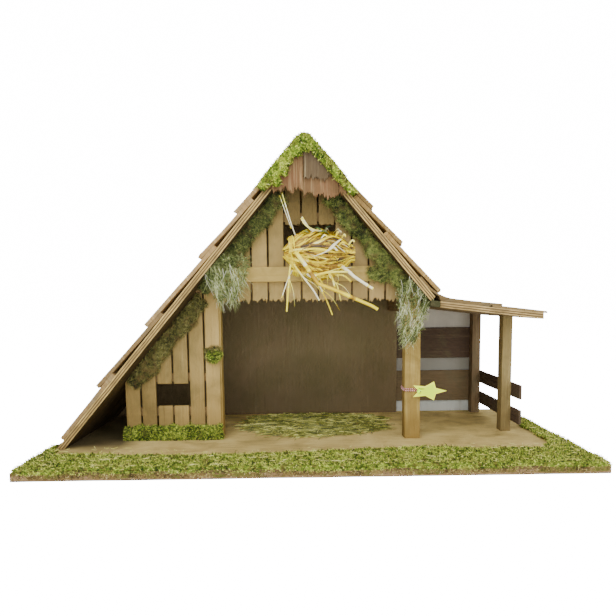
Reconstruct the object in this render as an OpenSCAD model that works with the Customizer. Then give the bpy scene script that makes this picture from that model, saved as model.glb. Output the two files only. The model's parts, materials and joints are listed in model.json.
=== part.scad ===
// Wooden nativity stable: a tabletop crib with a steep plywood roof, a boarded gable and a lean-to.
// Origin at the centre of the base board's underside, X to the right, Y to the back, Z up.

/* [Base board] */
// Length of the base board, side to side
base_l = 600; // [570:1:660]
// Depth of the base board, front to back
base_d = 320; // [300:1:380]
// Thickness of the base board
base_t = 9; // [6:0.5:14]

/* [Main roof] */
// Height of the ridge on the underside of the roof boards
ridge_z = 342; // [325:1:360]
// Slope of the long left roof
left_pitch = 50; // [47:0.5:53]
// Slope of the short right roof
right_pitch = 50; // [47:0.5:53]
// Length of the right roof along its slope
right_slope_l = 219; // [205:1:235]
// Thickness of the roof plywood
ply_t = 7; // [5:0.5:10]
// Gap from the left end of the base to the foot of the roof
foot_inset = 8; // [6:0.5:20]
// Reach of the roof in front of the gable frame
roof_reach = 33; // [24:1:45]
// Gap from the rear edge of the roof to the rear edge of the base
rear_gap = 6; // [2:0.5:20]
// Height of the ridge beam
ridge_beam_h = 24; // [18:1:30]
// Width of the ridge beam
ridge_beam_w = 16; // [12:1:20]

/* [Shingles] */
// Thickness of the roof shingles
shingle_t = 4.5; // [3:0.25:6]
// Overlap of one course over the course below
shingle_lap = 24; // [15:1:30]
// Gap between neighbouring shingles
shingle_gap = 0.8; // [0.4:0.1:2]
// Most by which a shingle falls short of its course
shingle_stagger = 4; // [0:0.5:8]
// Thickness of the thin shingles on the lean-to
thin_shingle_t = 2.4; // [1.5:0.1:3]
// Radius of the bend over the valley between the roofs
valley_r = 45; // [35:1:60]
// Overhang of the lowest shingles past the lean-to roof
thin_overhang = 5; // [2:0.5:10]

/* [Frame] */
// Distance from the front of the base to the gable frame
setback = 129; // [115:1:145]
// Side of the square main posts
post_w = 18.5; // [15:0.5:22]
// Distance from the ridge to the inner face of the left post
room_left = 102.9; // [95:0.1:112]
// Distance from the ridge to the inner face of the right post
room_right = 117.7; // [112:0.1:122]
// Depth of the tie between the gable and the left wall
tie_d = 13; // [10:0.5:18]
// Height of the tie
tie_h = 14; // [10:0.5:18]
// Height of the underside of the tie
tie_z = 187; // [183:0.5:190]
// Height of the gable's cross beam
beam_h = 17.2; // [12:0.2:20]
// Thickness of the cross beam
beam_t = 6; // [4:0.5:9]
// Height of the underside of the cross beam
beam_z = 198.2; // [192:0.2:204]
// Height of the two battens behind the wall slats
batten_h = 10; // [8:0.5:14]
// Thickness of the battens
batten_t = 8; // [5:0.5:12]

/* [Slats] */
// Width of a wall slat
slat_w = 17.2; // [15:0.2:18]
// Gap between slats
slat_gap = 2.4; // [1.2:0.2:4]
// Thickness of a slat
slat_t = 3; // [2:0.25:5]
// Number of slats in the left wall
wall_slats = 6; // [5:1:6]
// Height of the ragged lower ends of the gable slats
gable_z = 173; // [168:0.5:178]
// Depth of the cuts in a ragged end
ragged_h = 5; // [2:0.5:8]
// Height of the sill of the wall window
window_z = 50.5; // [40:0.5:58]
// Height of the wall window
window_h = 27; // [18:0.5:30]
// Height of the sill of the loft window
loft_z = 236; // [226:1:242]
// Height of the loft window
loft_h = 26.5; // [18:0.5:28]

/* [Walls] */
// Thickness of the back wall
wall_t = 5; // [3:0.5:8]
// Distance from the rear edge of the base to the back of the wall
wall_gap = 12; // [9:0.5:25]

/* [Lean-to] */
// Slope of the lean-to roof
lean_pitch = 6.9; // [5:0.1:9]
// Distance from the right end of the base to the outer face of the lean-to posts
lean_inset = 45.5; // [40:0.5:60]
// Overhang of the lean-to roof past its posts
lean_overhang = 12; // [5:0.5:18]
// Width of the dark strip in the valley
valley_w = 11; // [8:0.5:16]
// Height of the plate under the valley
plate_h = 14; // [10:0.5:20]
// Width of a lean-to post
lean_post_w = 12; // [9:0.5:16]
// Depth of a lean-to post
lean_post_d = 16; // [10:0.5:16]
// Distance from the front of the base to the front lean-to post
lean_setback = 162; // [150:1:185]
// Height of the lower edge of the lower side rail
low_rail_z = 23; // [18:0.5:30]
// Height of the lower edge of the upper side rail
high_rail_z = 54; // [48:0.5:62]
// Reach of the side rails in front of the lean-to post
rail_reach = 29; // [15:1:40]
// Thickness of the boards at the back of the lean-to
back_board_t = 4; // [3:0.5:6]
// Width of the boards at the back of the lean-to
back_board_w = 45; // [36:0.5:50]
// Height of the lower edge of the lower back board
low_board_z = 25.8; // [20:0.2:34]
// Band left bare between the two back boards
board_band = 19; // [12:0.5:24]
// Overlap of the back boards behind the back wall
board_lap = 16; // [10:0.5:30]
// Thickness of the pale sheet behind the back boards
sheet_t = 2; // [1:0.25:3]

/* [Hood] */
// Thickness of the hood boards
hood_t = 3; // [2:0.25:4]
// Height of the ragged end of the left hood board
hood_left_z = 296; // [290:0.5:302]
// Height of the ragged end of the right hood board
hood_right_z = 289; // [284:0.5:294]
// Height of the ragged end of the board laid over the right one
hood_over_z = 308; // [302:0.5:314]

/* [Moss and straw] */
// Height of the moss on the base board
moss_h = 5.5; // [3:0.5:9]
// Thickness of the moss on the ridge, over the shingles
ridge_moss_t = 4; // [2:0.5:7]
// Thickness of the moss in front of the gable and the walls
moss_t = 9; // [5:0.5:14]
// Height of the hay on the floor
hay_h = 3; // [2:0.5:5]
// Length of the straw nest, side to side
nest_l = 78; // [60:1:90]
// Height of the straw nest
nest_h = 54; // [40:1:60]
// Depth of the straw nest
nest_d = 40; // [30:1:48]
// Diameter of the thickest straw
straw_d = 5.6; // [3:0.2:7]

/* [Star] */
// Length of the star, side to side
star_l = 40; // [30:1:50]
// Height of the star
star_h = 22.5; // [18:0.5:40]
// Thickness of the star
star_t = 1.5; // [1:0.1:3]
// Height of the middle of the star
star_z = 67; // [50:1:90]
// Diameter of the red cord
cord_d = 1.1; // [0.8:0.1:1.6]

/* [Fasteners] */
// Shank diameter of the screws under the posts
screw_d = 3; // [2.5:0.1:4]
// Head diameter of the screws
screw_head_d = 6; // [5:0.1:8]
// Length of the screws
screw_l = 25; // [20:1:30]
// Shank diameter of the brads
brad_d = 1.4; // [1:0.1:1.8]
// Head diameter of the brads
brad_head_d = 2.6; // [2:0.1:3.5]
// Length of the brads
brad_l = 10; // [8:0.5:12]
// Thickness of a brad's head
brad_head_t = 0.6; // [0.4:0.1:1]

/* [Hidden] */

// Colours
oak = "#b59c6c";
dark_board = "#5a4434";
weathered = "#a08a66";
bark = "#96714f";
plain_ply = "#c9ae79";
pale_sheet = "#a9aaa4";
moss_green = "#6b6f2e";
lichen_grey = "#9a9a6f";

// Overrun of a cut past the face it opens, and of a solid into the one it joins
overrun = 1;
// Gap that a soft piece keeps from its neighbours
soft_gap = 0.3;

// Planes from front to back
base_front = -base_d / 2;
base_rear = base_d / 2;
frame_y = base_front + setback;
gable_y = frame_y - slat_t;
beam_y = gable_y - beam_t;
wall_slat_y = frame_y + tie_d;
left_post_y = wall_slat_y + slat_t;
roof_front = frame_y - roof_reach;
roof_rear = base_rear - rear_gap;
wall_rear = base_rear - wall_gap;
wall_front = wall_rear - wall_t;
lean_front = base_front + lean_setback;
hood_y = roof_front - hood_t;

// Roof lines, in the plane of the gable: u runs down a slope from the ridge, v stands square to it
foot_x = -base_l / 2 + foot_inset + ply_t / sin(left_pitch);
ridge_x = foot_x + (ridge_z - base_t) / tan(left_pitch);
left_slope_l = (ridge_z - base_t) / sin(left_pitch);
function on_left(u, v) = [
  ridge_x - u * cos(left_pitch) - v * sin(left_pitch),
  ridge_z - u * sin(left_pitch) + v * cos(left_pitch)];
function on_right(u, v) = [
  ridge_x + u * cos(right_pitch) + v * sin(right_pitch),
  ridge_z - u * sin(right_pitch) + v * cos(right_pitch)];
function under_left(x) = ridge_z - (ridge_x - x) * tan(left_pitch);
function under_right(x) = ridge_z - (x - ridge_x) * tan(right_pitch);
eave = on_right(right_slope_l, 0);

// Lean-to roof lines
valley_bite = ply_t / 6;
lean_corner = on_right(right_slope_l, valley_bite);
function lean_top(x) = lean_corner[1] - (x - lean_corner[0]) * tan(lean_pitch);
function lean_under(x) = lean_top(x) - ply_t / cos(lean_pitch);
lean_x0 = eave[0] + valley_w;
lean_post_x1 = base_l / 2 - lean_inset;
lean_post_x0 = lean_post_x1 - lean_post_w;
lean_x1 = lean_post_x1 + lean_overhang;
thin_x0 = lean_x0 + (lean_x1 - lean_x0) / 2;

// Posts and slats
left_post_x1 = ridge_x - room_left;
left_post_x0 = left_post_x1 - post_w;
right_post_x0 = ridge_x + room_right;
right_post_x1 = right_post_x0 + post_w;
slat_pitch = slat_w + slat_gap;
wall_slat_inset = slat_t * 0.6;
wall_slat_x1 = left_post_x1 - wall_slat_inset;
wall_slat_x0 = wall_slat_x1 - wall_slats * slat_pitch + slat_gap;
gable_inset = slat_t / 2;
gable_x0 = left_post_x1 + gable_inset;
gable_slats = floor((right_post_x0 - gable_x0 + slat_gap) / slat_pitch);
loft_slat_index = 4;
loft_slat_count = 3;
window_slat_index = 2;
window_slat_count = 2;
loft_top = loft_z + loft_h;
window_top = window_z + window_h;
plate_x1 = eave[0];
plate_x0 = plate_x1 - post_w;
plate_z = lean_under(plate_x1) - plate_h / 2;

// Draws a profile given in X and Z, from the plane y0 back to the plane y1
module along_y(y0, y1) {
  translate([0, y1, 0]) rotate([90, 0, 0]) linear_extrude(y1 - y0) children();
}

// The space under the main roof, down to the top of the base
module under_roof() {
  polygon([[foot_x, base_t], [ridge_x, ridge_z], eave, [eave[0], base_t]]);
}

// The space under the lean-to roof, from the eave of the main roof on
module under_lean_to() {
  polygon([[eave[0], base_t], [eave[0], lean_under(eave[0])],
    [base_l / 2, lean_under(base_l / 2)], [base_l / 2, base_t]]);
}

// Points of a ragged edge from x1 back to x0, with its deepest cuts at z
function ragged_edge(x0, x1, z, seed) =
  let(teeth = 7, r = rands(0, 1, 2 * teeth, seed))
  [for (i = [0:2 * teeth - 1])
    let(inside = (i == 0 || i == 2 * teeth - 1) ? 0 : (r[i] - 0.5) * 0.6)
    [x1 - (x1 - x0) * (i + inside) / (2 * teeth - 1), z + ragged_h * (1 - r[i])]];

// Base board, with holes for the screws under the posts
post_spots = [
  [(left_post_x0 + left_post_x1) / 2, left_post_y + post_w / 2],
  [(right_post_x0 + right_post_x1) / 2, frame_y + post_w / 2],
  [(lean_post_x0 + lean_post_x1) / 2, lean_front + lean_post_d / 2],
  [(lean_post_x0 + lean_post_x1) / 2, wall_rear - lean_post_d / 2]];
screw_fit = 0.05;
module screw_shape(grow, start) {
  head_h = (screw_head_d - screw_d) / 2;
  translate([0, 0, -start]) cylinder(d = screw_d + grow, h = screw_l + start, $fn = 32);
  cylinder(d1 = screw_head_d + grow, d2 = screw_d + grow, h = head_h, $fn = 32);
}
module base_board() {
  color(oak) difference() {
    translate([-base_l / 2, base_front, 0]) cube([base_l, base_d, base_t]);
    for (spot = post_spots) translate([spot[0], spot[1], 0]) screw_shape(screw_fit, overrun);
  }
}
module post_screws() {
  color("silver") for (spot = post_spots) translate([spot[0], spot[1], 0]) screw_shape(0, 0);
}

// Upright cut to the roof above it, with the screw's hole in its foot
module post(x0, x1, y0, y1, spot) {
  difference() {
    along_y(y0, y1) intersection() {
      translate([x0, base_t]) square([x1 - x0, ridge_z]);
      union() {
        under_roof();
        under_lean_to();
      }
    }
    translate([spot[0], spot[1], 0]) screw_shape(screw_fit, 0);
  }
}
module left_post() {
  color(oak) post(left_post_x0, left_post_x1, left_post_y, left_post_y + post_w, post_spots[0]);
}
module right_post() {
  color(oak) post(right_post_x0, right_post_x1, frame_y, frame_y + post_w, post_spots[1]);
}
module lean_to_front_post() {
  color(oak) difference() {
    post(lean_post_x0, lean_post_x1, lean_front, lean_front + lean_post_d, post_spots[2]);
    brad_holes();
  }
}
module lean_to_rear_post() {
  color(weathered) difference() {
    post(lean_post_x0, lean_post_x1, wall_rear - lean_post_d, wall_rear, post_spots[3]);
    brad_holes();
  }
}

// Back wall, one sheet under both slopes
module back_wall() {
  color(dark_board) difference() {
    along_y(wall_front, wall_rear) intersection() {
      union() {
        under_roof();
        under_lean_to();
      }
      translate([foot_x, base_t]) square([right_post_x1 - foot_x, ridge_z]);
    }
    brad_holes();
  }
}

// Roof panels: the long one stands on the base, both meet at the ridge with square ends
module left_roof_panel() {
  color(plain_ply) along_y(roof_front, roof_rear) polygon([
    [foot_x, base_t], [ridge_x, ridge_z], on_left(0, ply_t), [foot_x - ply_t / sin(left_pitch), base_t]]);
}
module right_roof_panel() {
  color(plain_ply) along_y(roof_front, roof_rear) polygon([
    [ridge_x, ridge_z], eave, on_right(right_slope_l, ply_t), on_right(0, ply_t)]);
}
module lean_to_roof_panel() {
  color(plain_ply) along_y(roof_front, roof_rear) polygon([
    [lean_x0, lean_under(lean_x0)], [lean_x1, lean_under(lean_x1)],
    [lean_x1, lean_top(lean_x1)], [lean_x0, lean_top(lean_x0)]]);
}

// Timbers inside the roof
module ridge_beam() {
  half = ridge_beam_w / 2;
  low = ridge_z - ridge_beam_h;
  color(weathered) along_y(roof_front, wall_front) polygon([
    [ridge_x - half, low], [ridge_x + half, low],
    [ridge_x + half, under_right(ridge_x + half)], [ridge_x, ridge_z],
    [ridge_x - half, under_left(ridge_x - half)]]);
}
module eaves_plate() {
  color(weathered) along_y(frame_y + post_w, wall_front) polygon([
    [plate_x0, plate_z], [plate_x1, plate_z], eave, [plate_x0, under_right(plate_x0)]]);
}
module valley_strip() {
  color(dark_board) along_y(roof_front, roof_rear) polygon([
    [plate_x1, lean_under(plate_x1)], [lean_x0, lean_under(lean_x0)],
    [lean_x0, lean_top(lean_x0)], lean_corner, eave]);
}
module gable_tie() {
  color(weathered) along_y(frame_y, wall_slat_y) intersection() {
    under_roof();
    translate([foot_x, tie_z]) square([right_post_x0 - foot_x, tie_h]);
  }
}
module loft_batten() {
  color(weathered) along_y(frame_y, frame_y + batten_t) intersection() {
    under_roof();
    translate([foot_x, loft_top + batten_h / 2]) square([base_l, batten_h]);
  }
}
module gable_beam() {
  color(oak) along_y(beam_y, gable_y) intersection() {
    under_roof();
    translate([foot_x, beam_z]) square([base_l, beam_h]);
  }
}

// Wall slats, standing on the base and cut to the slope of the roof
function wall_slat_left(i) = wall_slat_x0 + i * slat_pitch;
module wall_slat(i, z0, z1) {
  color(oak) along_y(wall_slat_y, left_post_y) intersection() {
    under_roof();
    translate([wall_slat_left(i), z0]) square([slat_w, z1 - z0]);
  }
}
module full_or_sill_slat(i) {
  cut = i >= window_slat_index && i < window_slat_index + window_slat_count;
  wall_slat(i, base_t, cut ? window_z : ridge_z);
}
module wall_slat_1() full_or_sill_slat(0);
module wall_slat_2() full_or_sill_slat(1);
module wall_slat_3() full_or_sill_slat(2);
module wall_slat_4() full_or_sill_slat(3);
module wall_slat_5() full_or_sill_slat(4);
module wall_slat_6() full_or_sill_slat(5);
module window_head_slats() {
  for (i = [window_slat_index:window_slat_index + window_slat_count - 1]) wall_slat(i, window_top, ridge_z);
}
module wall_battens() {
  color(weathered) for (z = [window_z - batten_h - slat_gap, window_top + slat_gap])
    along_y(left_post_y, left_post_y + batten_t) intersection() {
      under_roof();
      translate([wall_slat_x0, z]) square([left_post_x0 - wall_slat_x0, batten_h]);
    }
}

// Gable slats, with ragged lower ends over the open room
function gable_slat_left(i) = gable_x0 + i * slat_pitch;
module gable_room() {
  intersection() {
    under_roof();
    translate([foot_x, base_t]) square([base_l, ridge_z - ridge_beam_h - base_t]);
  }
}
module gable_slat(i, z1) {
  x0 = gable_slat_left(i);
  x1 = x0 + slat_w;
  color(oak) along_y(gable_y, frame_y) intersection() {
    gable_room();
    polygon(concat([[x0, z1], [x1, z1]], ragged_edge(x0, x1, gable_z, i + 1)));
  }
}
module gable_slats_left() {
  for (i = [0:loft_slat_index - 1]) gable_slat(i, ridge_z);
}
module gable_slats_right() {
  for (i = [loft_slat_index + loft_slat_count:gable_slats - 1]) gable_slat(i, ridge_z);
}
module loft_slats() {
  color(oak) for (i = [loft_slat_index:loft_slat_index + loft_slat_count - 1]) {
    gable_slat(i, loft_z);
    along_y(gable_y, frame_y) intersection() {
      gable_room();
      translate([gable_slat_left(i), loft_top]) square([slat_w, ridge_z]);
    }
  }
}

// Roof shingles: each course lies on the panel at its upper end and on the course below at its
// lower end. The tables give the lower ends as shares of the slope, from the eaves up.
left_course_shares = [0.985, 0.815, 0.61, 0.388, 0.236];
right_course_shares = [1, 0.69, 0.452];
ridge_end = ply_t / 2;
function low_end(shares, slope, k) = shares[k] * slope;
function high_end(shares, slope, k) =
  k == len(shares) - 1 ? ridge_end : low_end(shares, slope, k + 1) - shingle_lap;
function rise(shares, slope, first, k) = k == 0 ? first :
  let(low = low_end(shares, slope, k), high = high_end(shares, slope, k),
    below = high_end(shares, slope, k - 1))
  max(shingle_t / (below - high),
    (shingle_t + (low - below) * rise(shares, slope, first, k - 1)) / (low - high));

// A row of shingles side by side; odd rows are split at the mirrored places
split_shares = [0, 0.17, 0.4, 0.58, 0.82, 1];
stagger_shares = [0, 0.6, 0.2, 1, 0.4];
roof_d = roof_rear - roof_front;
module shingle_row(k) {
  boards = len(split_shares) - 1;
  for (j = [0:boards - 1]) {
    near = k % 2 == 0 ? split_shares[j] : 1 - split_shares[boards - j];
    far = k % 2 == 0 ? split_shares[j + 1] : 1 - split_shares[boards - j - 1];
    $short = shingle_stagger * stagger_shares[j];
    along_y(roof_front + near * roof_d + (j == 0 ? 0 : shingle_gap), roof_front + far * roof_d)
      children();
  }
}
module left_course(k) {
  low = low_end(left_course_shares, left_slope_l, k);
  high = high_end(left_course_shares, left_slope_l, k);
  lift = rise(left_course_shares, left_slope_l, 0, k);
  color(bark) shingle_row(k) {
    end = low - $short;
    polygon([on_left(high, ply_t), on_left(high, ply_t + shingle_t),
      on_left(end, ply_t + shingle_t + lift * (end - high)), on_left(end, ply_t + lift * (end - high))]);
  }
}
module left_shingles_1() left_course(0);
module left_shingles_2() left_course(1);
module left_shingles_3() left_course(2);
module left_shingles_4() left_course(3);
module left_shingles_5() left_course(4);

// The valley shingles lie on the right panel, bend over the valley and run on down the lean-to.
// Their underside is the steep line at the panel's face, an arc, and the flat line of the lean-to.
valley_turn = right_pitch - lean_pitch;
valley_under_r = valley_r + thin_shingle_t;
flat_lift = thin_shingle_t / cos(lean_pitch);
// Place down the steep slope where both lines cross
cross_u = let(a = on_right(0, ply_t))
  (a[1] - lean_top(a[0]) - flat_lift) / (sin(right_pitch) - cos(right_pitch) * tan(lean_pitch));
bend_run = valley_under_r * tan(valley_turn / 2);
bend_u = cross_u - bend_run;
valley_high_u = bend_u - shingle_lap / 2;
bend_centre = on_right(bend_u, ply_t + valley_under_r);
bend_steps = 12;
function bend_point(r, i) =
  let(a = -90 - right_pitch + valley_turn * i / bend_steps)
  [bend_centre[0] + r * cos(a), bend_centre[1] + r * sin(a)];
valley_low_x = thin_x0 + shingle_lap / 2;
module valley_shingles() {
  color(bark) shingle_row(1) {
    end = valley_low_x - $short;
    polygon(concat(
      [on_right(valley_high_u, ply_t)],
      [for (i = [0:bend_steps]) bend_point(valley_under_r, i)],
      [[end, lean_top(end) + flat_lift], [end, lean_top(end) + 2 * flat_lift]],
      [for (i = [bend_steps:-1:0]) bend_point(valley_r, i)],
      [on_right(valley_high_u, ply_t + thin_shingle_t)]));
  }
}
module lean_to_shingles() {
  color(bark) shingle_row(0) {
    end = lean_x1 + thin_overhang - $short;
    polygon([[thin_x0, lean_top(thin_x0)], [end, lean_top(end)],
      [end, lean_top(end) + flat_lift], [thin_x0, lean_top(thin_x0) + flat_lift]]);
  }
}

// Height of the valley shingles' top face over the right panel, square to the panel
function valley_top_v(u) = thin_shingle_t
  + (u < bend_u ? 0 : valley_r - sqrt(pow(valley_r, 2) - pow(u - bend_u, 2)));
right_low_u = low_end(right_course_shares, right_slope_l, 0);
right_first_rise = valley_top_v(right_low_u)
  / (right_low_u - high_end(right_course_shares, right_slope_l, 0));
module right_course(k) {
  low = low_end(right_course_shares, right_slope_l, k);
  high = high_end(right_course_shares, right_slope_l, k);
  lift = rise(right_course_shares, right_slope_l, right_first_rise, k);
  color(bark) shingle_row(k) {
    end = low - $short;
    polygon([on_right(high, ply_t), on_right(end, ply_t + lift * (end - high)),
      on_right(end, ply_t + shingle_t + lift * (end - high)), on_right(high, ply_t + shingle_t)]);
  }
}
module right_shingles_1() right_course(0);
module right_shingles_2() right_course(1);
module right_shingles_3() right_course(2);

// Side rails, nailed to the outer faces of the lean-to posts
rail_front = lean_front - rail_reach;
module side_rail(z) {
  color(dark_board) difference() {
    translate([lean_post_x1, rail_front, z]) cube([slat_t, wall_rear - rail_front, slat_w]);
    brad_holes();
  }
}
module upper_side_rail() side_rail(high_rail_z);
module lower_side_rail() side_rail(low_rail_z);

// Boards at the back of the lean-to, nailed with the sheet behind the back wall and the rear post
high_board_z = low_board_z + back_board_w + board_band;
module back_panel(y, t, z, h) {
  x0 = right_post_x1 - board_lap;
  difference() {
    along_y(y, y + t) intersection() {
      union() {
        under_roof();
        under_lean_to();
      }
      translate([x0, z]) square([lean_post_x1 - x0, h]);
    }
    brad_holes();
  }
}
module back_board(z) {
  color(dark_board) back_panel(wall_rear, back_board_t, z, back_board_w);
}
module upper_back_board() back_board(high_board_z);
module lower_back_board() back_board(low_board_z);

// Pale sheet that closes the lean-to's back behind its boards
module lean_to_back_sheet() {
  color(pale_sheet) back_panel(wall_rear + back_board_t, sheet_t, base_t, ridge_z);
}

// Brads: through the rails into the posts, and through the sheet and the back boards into the wall
// and the post
brad_fit = 0.05;
module brad(grow) {
  translate([0, 0, -brad_l]) cylinder(d = brad_d + grow, h = brad_l, $fn = 24);
  if (grow == 0) cylinder(d = brad_head_d, h = brad_head_t, $fn = 24);
}
rail_brad_x = lean_post_x1 + slat_t;
rear_post_mid = wall_rear - lean_post_d / 2;
module place_brads(grow) {
  for (z = [low_rail_z, high_rail_z], y = [lean_front + lean_post_d / 2, rear_post_mid])
    translate([rail_brad_x, y, z + slat_w / 2]) rotate([0, 90, 0]) brad(grow);
  for (z = [low_board_z, high_board_z], side = [0, 1], share = [0.25, 0.75])
    translate([side == 0 ? right_post_x1 - board_lap / 2 : (lean_post_x0 + lean_post_x1) / 2,
      wall_rear + back_board_t + sheet_t, z + share * back_board_w])
      rotate([-90, 0, 0]) brad(grow);
}
module brad_holes() place_brads(brad_fit);
module brads() {
  color("silver") place_brads(0);
}

// Hood boards over the front ends of the roof panels, cut along the top of the plywood
hood_split_x = ridge_x - slat_gap / 2;
hood_right_w = 2.2 * slat_w;
hood_over_w = 1.7 * slat_w;
hood_outer_w = 1.1 * slat_w;
hood_front = hood_y - hood_t;
module hood_outline() {
  far = left_slope_l / 2;
  polygon([on_left(far, 0), on_left(far, ply_t), on_left(0, ply_t),
    on_right(0, ply_t), on_right(far, ply_t), on_right(far, 0)]);
}
module hood_board(x0, x1, z, front, seed) {
  color(bark) along_y(front, front + hood_t) intersection() {
    hood_outline();
    polygon(concat([[x0, ridge_z + ply_t], [x1, ridge_z + ply_t]], ragged_edge(x0, x1, z, seed)));
  }
}
hood_gap = 0.4;
module hood_board_left() {
  hood_board(hood_split_x - 3 * slat_w, hood_split_x - hood_gap, hood_left_z, hood_y, 21);
}
module hood_board_right() {
  hood_board(hood_split_x, hood_split_x + hood_right_w, hood_right_z, hood_y, 22);
}
module hood_board_outer() {
  x0 = hood_split_x + hood_right_w + hood_gap;
  hood_board(x0, x0 + hood_outer_w, hood_right_z + hood_t, hood_y, 23);
}
module hood_board_over() {
  hood_board(hood_split_x, hood_split_x + hood_over_w, hood_over_z, hood_front, 24);
}

// Moss on the base: inner edge as shares of the base's length, from its middle, and of its depth,
// from its front edge
front_moss_shares = [
  [-0.5, 0.345], [-0.491, 0.345], [-0.49, 0.29], [-0.463, 0.262], [-0.41, 0.26], [-0.358, 0.25],
  [-0.3, 0.222], [-0.203, 0.194], [-0.138, 0.173], [-0.08, 0.184], [-0.02, 0.201], [0.05, 0.215],
  [0.128, 0.228], [0.19, 0.24], [0.243, 0.238], [0.353, 0.231], [0.42, 0.233], [0.446, 0.255],
  [0.46, 0.31], [0.459, 0.4], [0.461, 0.49], [0.459, 0.58], [0.47, 0.65], [0.483, 0.72], [0.5, 0.76]];
module base_moss() {
  color(moss_green) translate([0, base_front, base_t]) linear_extrude(moss_h)
    polygon(concat([[base_l / 2, 0], [-base_l / 2, 0]],
      [for (p = front_moss_shares) [p[0] * base_l, p[1] * base_d]]));
}

// Moss along the foot of the left wall
module wall_foot_moss() {
  foot_h = 2.2 * moss_t;
  color(moss_green) along_y(wall_slat_y - moss_t, wall_slat_y) polygon(concat(
    [[wall_slat_x0 - slat_gap, base_t], [left_post_x1, base_t]],
    [for (i = [0:12]) let(share = i / 12)
      [left_post_x1 - share * (left_post_x1 - wall_slat_x0 + slat_gap),
        base_t + foot_h - slat_gap * (i % 2) - slat_gap * (i % 3) / 2]]));
}

// Moss over the ridge: it follows the top shingles, and its lip hangs over the hood boards
moss_reach_share = 0.19;
moss_u = moss_reach_share * left_slope_l;
lip_rear = hood_front - soft_gap;
lip_front = lip_rear - moss_t * 2 / 3;
left_top = len(left_course_shares) - 1;
right_top = len(right_course_shares) - 1;
function left_cover(u) = ply_t + shingle_t
  + rise(left_course_shares, left_slope_l, 0, left_top) * (u - ridge_end);
function right_cover(u) = ply_t + shingle_t
  + rise(right_course_shares, right_slope_l, right_first_rise, right_top) * (u - ridge_end);
peak_z = ridge_z + ply_t + shingle_t + ridge_moss_t;
function moss_crown(swell) = let(end = moss_u + swell, crest = ridge_moss_t + swell) [
  on_left(end, left_cover(end) + ridge_moss_t / 2 + swell),
  on_left(moss_u / 2, left_cover(moss_u / 2) + crest * 0.8),
  on_left(ridge_end, left_cover(0) + crest),
  [ridge_x, peak_z + swell],
  on_right(ridge_end, right_cover(0) + crest),
  on_right(moss_u / 2, right_cover(moss_u / 2) + crest * 0.8),
  on_right(end, right_cover(end) + ridge_moss_t / 2 + swell)];
module ridge_moss() {
  neck = moss_u + soft_gap;
  lip = neck + soft_gap;
  over_hood = ply_t + soft_gap;
  color(moss_green) {
    along_y(roof_front - soft_gap - overrun, roof_rear) polygon(concat(moss_crown(0), [
      on_right(moss_u, right_cover(moss_u) + soft_gap), on_right(0, right_cover(0) + soft_gap),
      [ridge_x, ridge_z + ply_t + soft_gap],
      on_left(0, left_cover(0) + soft_gap), on_left(moss_u, left_cover(moss_u) + soft_gap)]));
    along_y(lip_rear - overrun, roof_front - soft_gap) polygon(concat(moss_crown(soft_gap), [
      on_right(neck, over_hood), on_right(0, over_hood), on_left(0, over_hood), on_left(neck, over_hood)]));
    along_y(lip_front, lip_rear) polygon(concat(moss_crown(2 * soft_gap), [
      on_right(lip, ply_t), on_right(lip * 0.75, ply_t / 2), on_right(lip * 0.3, ply_t / 3),
      [ridge_x, ridge_z - ply_t], on_left(lip * 0.6, 0), on_left(lip, ply_t)]));
  }
}

// A band of moss under a slope of the roof, in front of the slats
module slope_moss(side, u0, u1, deep, y0, y1) {
  steps = 9;
  function place(u, v) = side < 0 ? on_left(u, v) : on_right(u, v);
  color(moss_green) along_y(y0, y1) polygon(concat(
    [place(u0, -soft_gap), place(u1, -soft_gap)],
    [for (i = [0:steps]) place(u1 - (u1 - u0) * i / steps, -deep * (0.75 + 0.25 * ((i * 2) % 5) / 4))]));
}

// A small tuft of moss, w wide and h high about its middle
tuft_shares = [0.5, 0.42, 0.48, 0.4, 0.5, 0.44, 0.47, 0.41, 0.5, 0.43];
module tuft(x, z, w, h, y0, y1) {
  n = len(tuft_shares);
  color(moss_green) along_y(y0, y1) polygon([for (i = [0:n - 1])
    [x + w * tuft_shares[i] * cos(360 * i / n), z + h * tuft_shares[i] * sin(360 * i / n)]]);
}
module gable_moss_left() {
  slope_moss(-1, 2.9 * post_w, left_slope_l * 0.45, 1.1 * post_w, beam_y - moss_t, beam_y);
}
module gable_moss_right() {
  slope_moss(1, 2.9 * post_w, right_slope_l * 0.88, 1.1 * post_w, beam_y - moss_t, beam_y);
  tuft(right_post_x0 - 1.7 * post_w, beam_z + beam_h / 2, 1.9 * post_w, 1.5 * beam_h,
    beam_y - moss_t * 0.7, beam_y);
}
module wall_moss() {
  below_tie = (ridge_z - tie_z) / sin(left_pitch) + soft_gap;
  slope_moss(-1, below_tie, left_slope_l * 0.78, 1.2 * post_w, wall_slat_y - moss_t, wall_slat_y);
  tuft(left_post_x1 - post_w / 2, window_top + 1.9 * post_w, 1.2 * post_w, 1.2 * post_w,
    wall_slat_y - moss_t * 0.7, wall_slat_y);
}

// Lichen hanging at both ends of the gable, in front of the moss
lichen_shares = [[0, 0.9], [0.3, 1], [1, 1], [0.97, 0.6], [0.85, 0.35], [0.8, 0.04], [0.6, 0.12],
  [0.45, 0], [0.35, 0.2], [0.2, 0.45], [0.08, 0.5]];
module lichen(x0, x1, z0, z1) {
  rear = beam_y - moss_t - soft_gap;
  color(lichen_grey) along_y(rear - moss_t, rear) intersection() {
    translate([0, -2 * soft_gap]) under_roof();
    polygon([for (p = lichen_shares) [x0 + p[0] * (x1 - x0), z0 + p[1] * (z1 - z0)]]);
  }
}
module lichen_left() {
  lichen(left_post_x1 - post_w / 2, left_post_x1 + 2 * post_w, gable_z, gable_z + 2.8 * post_w);
}
module lichen_right() {
  lichen(eave[0] - 1.75 * post_w, eave[0] - soft_gap, eave[1] - 3 * post_w, eave[1] + post_w);
}

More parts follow.
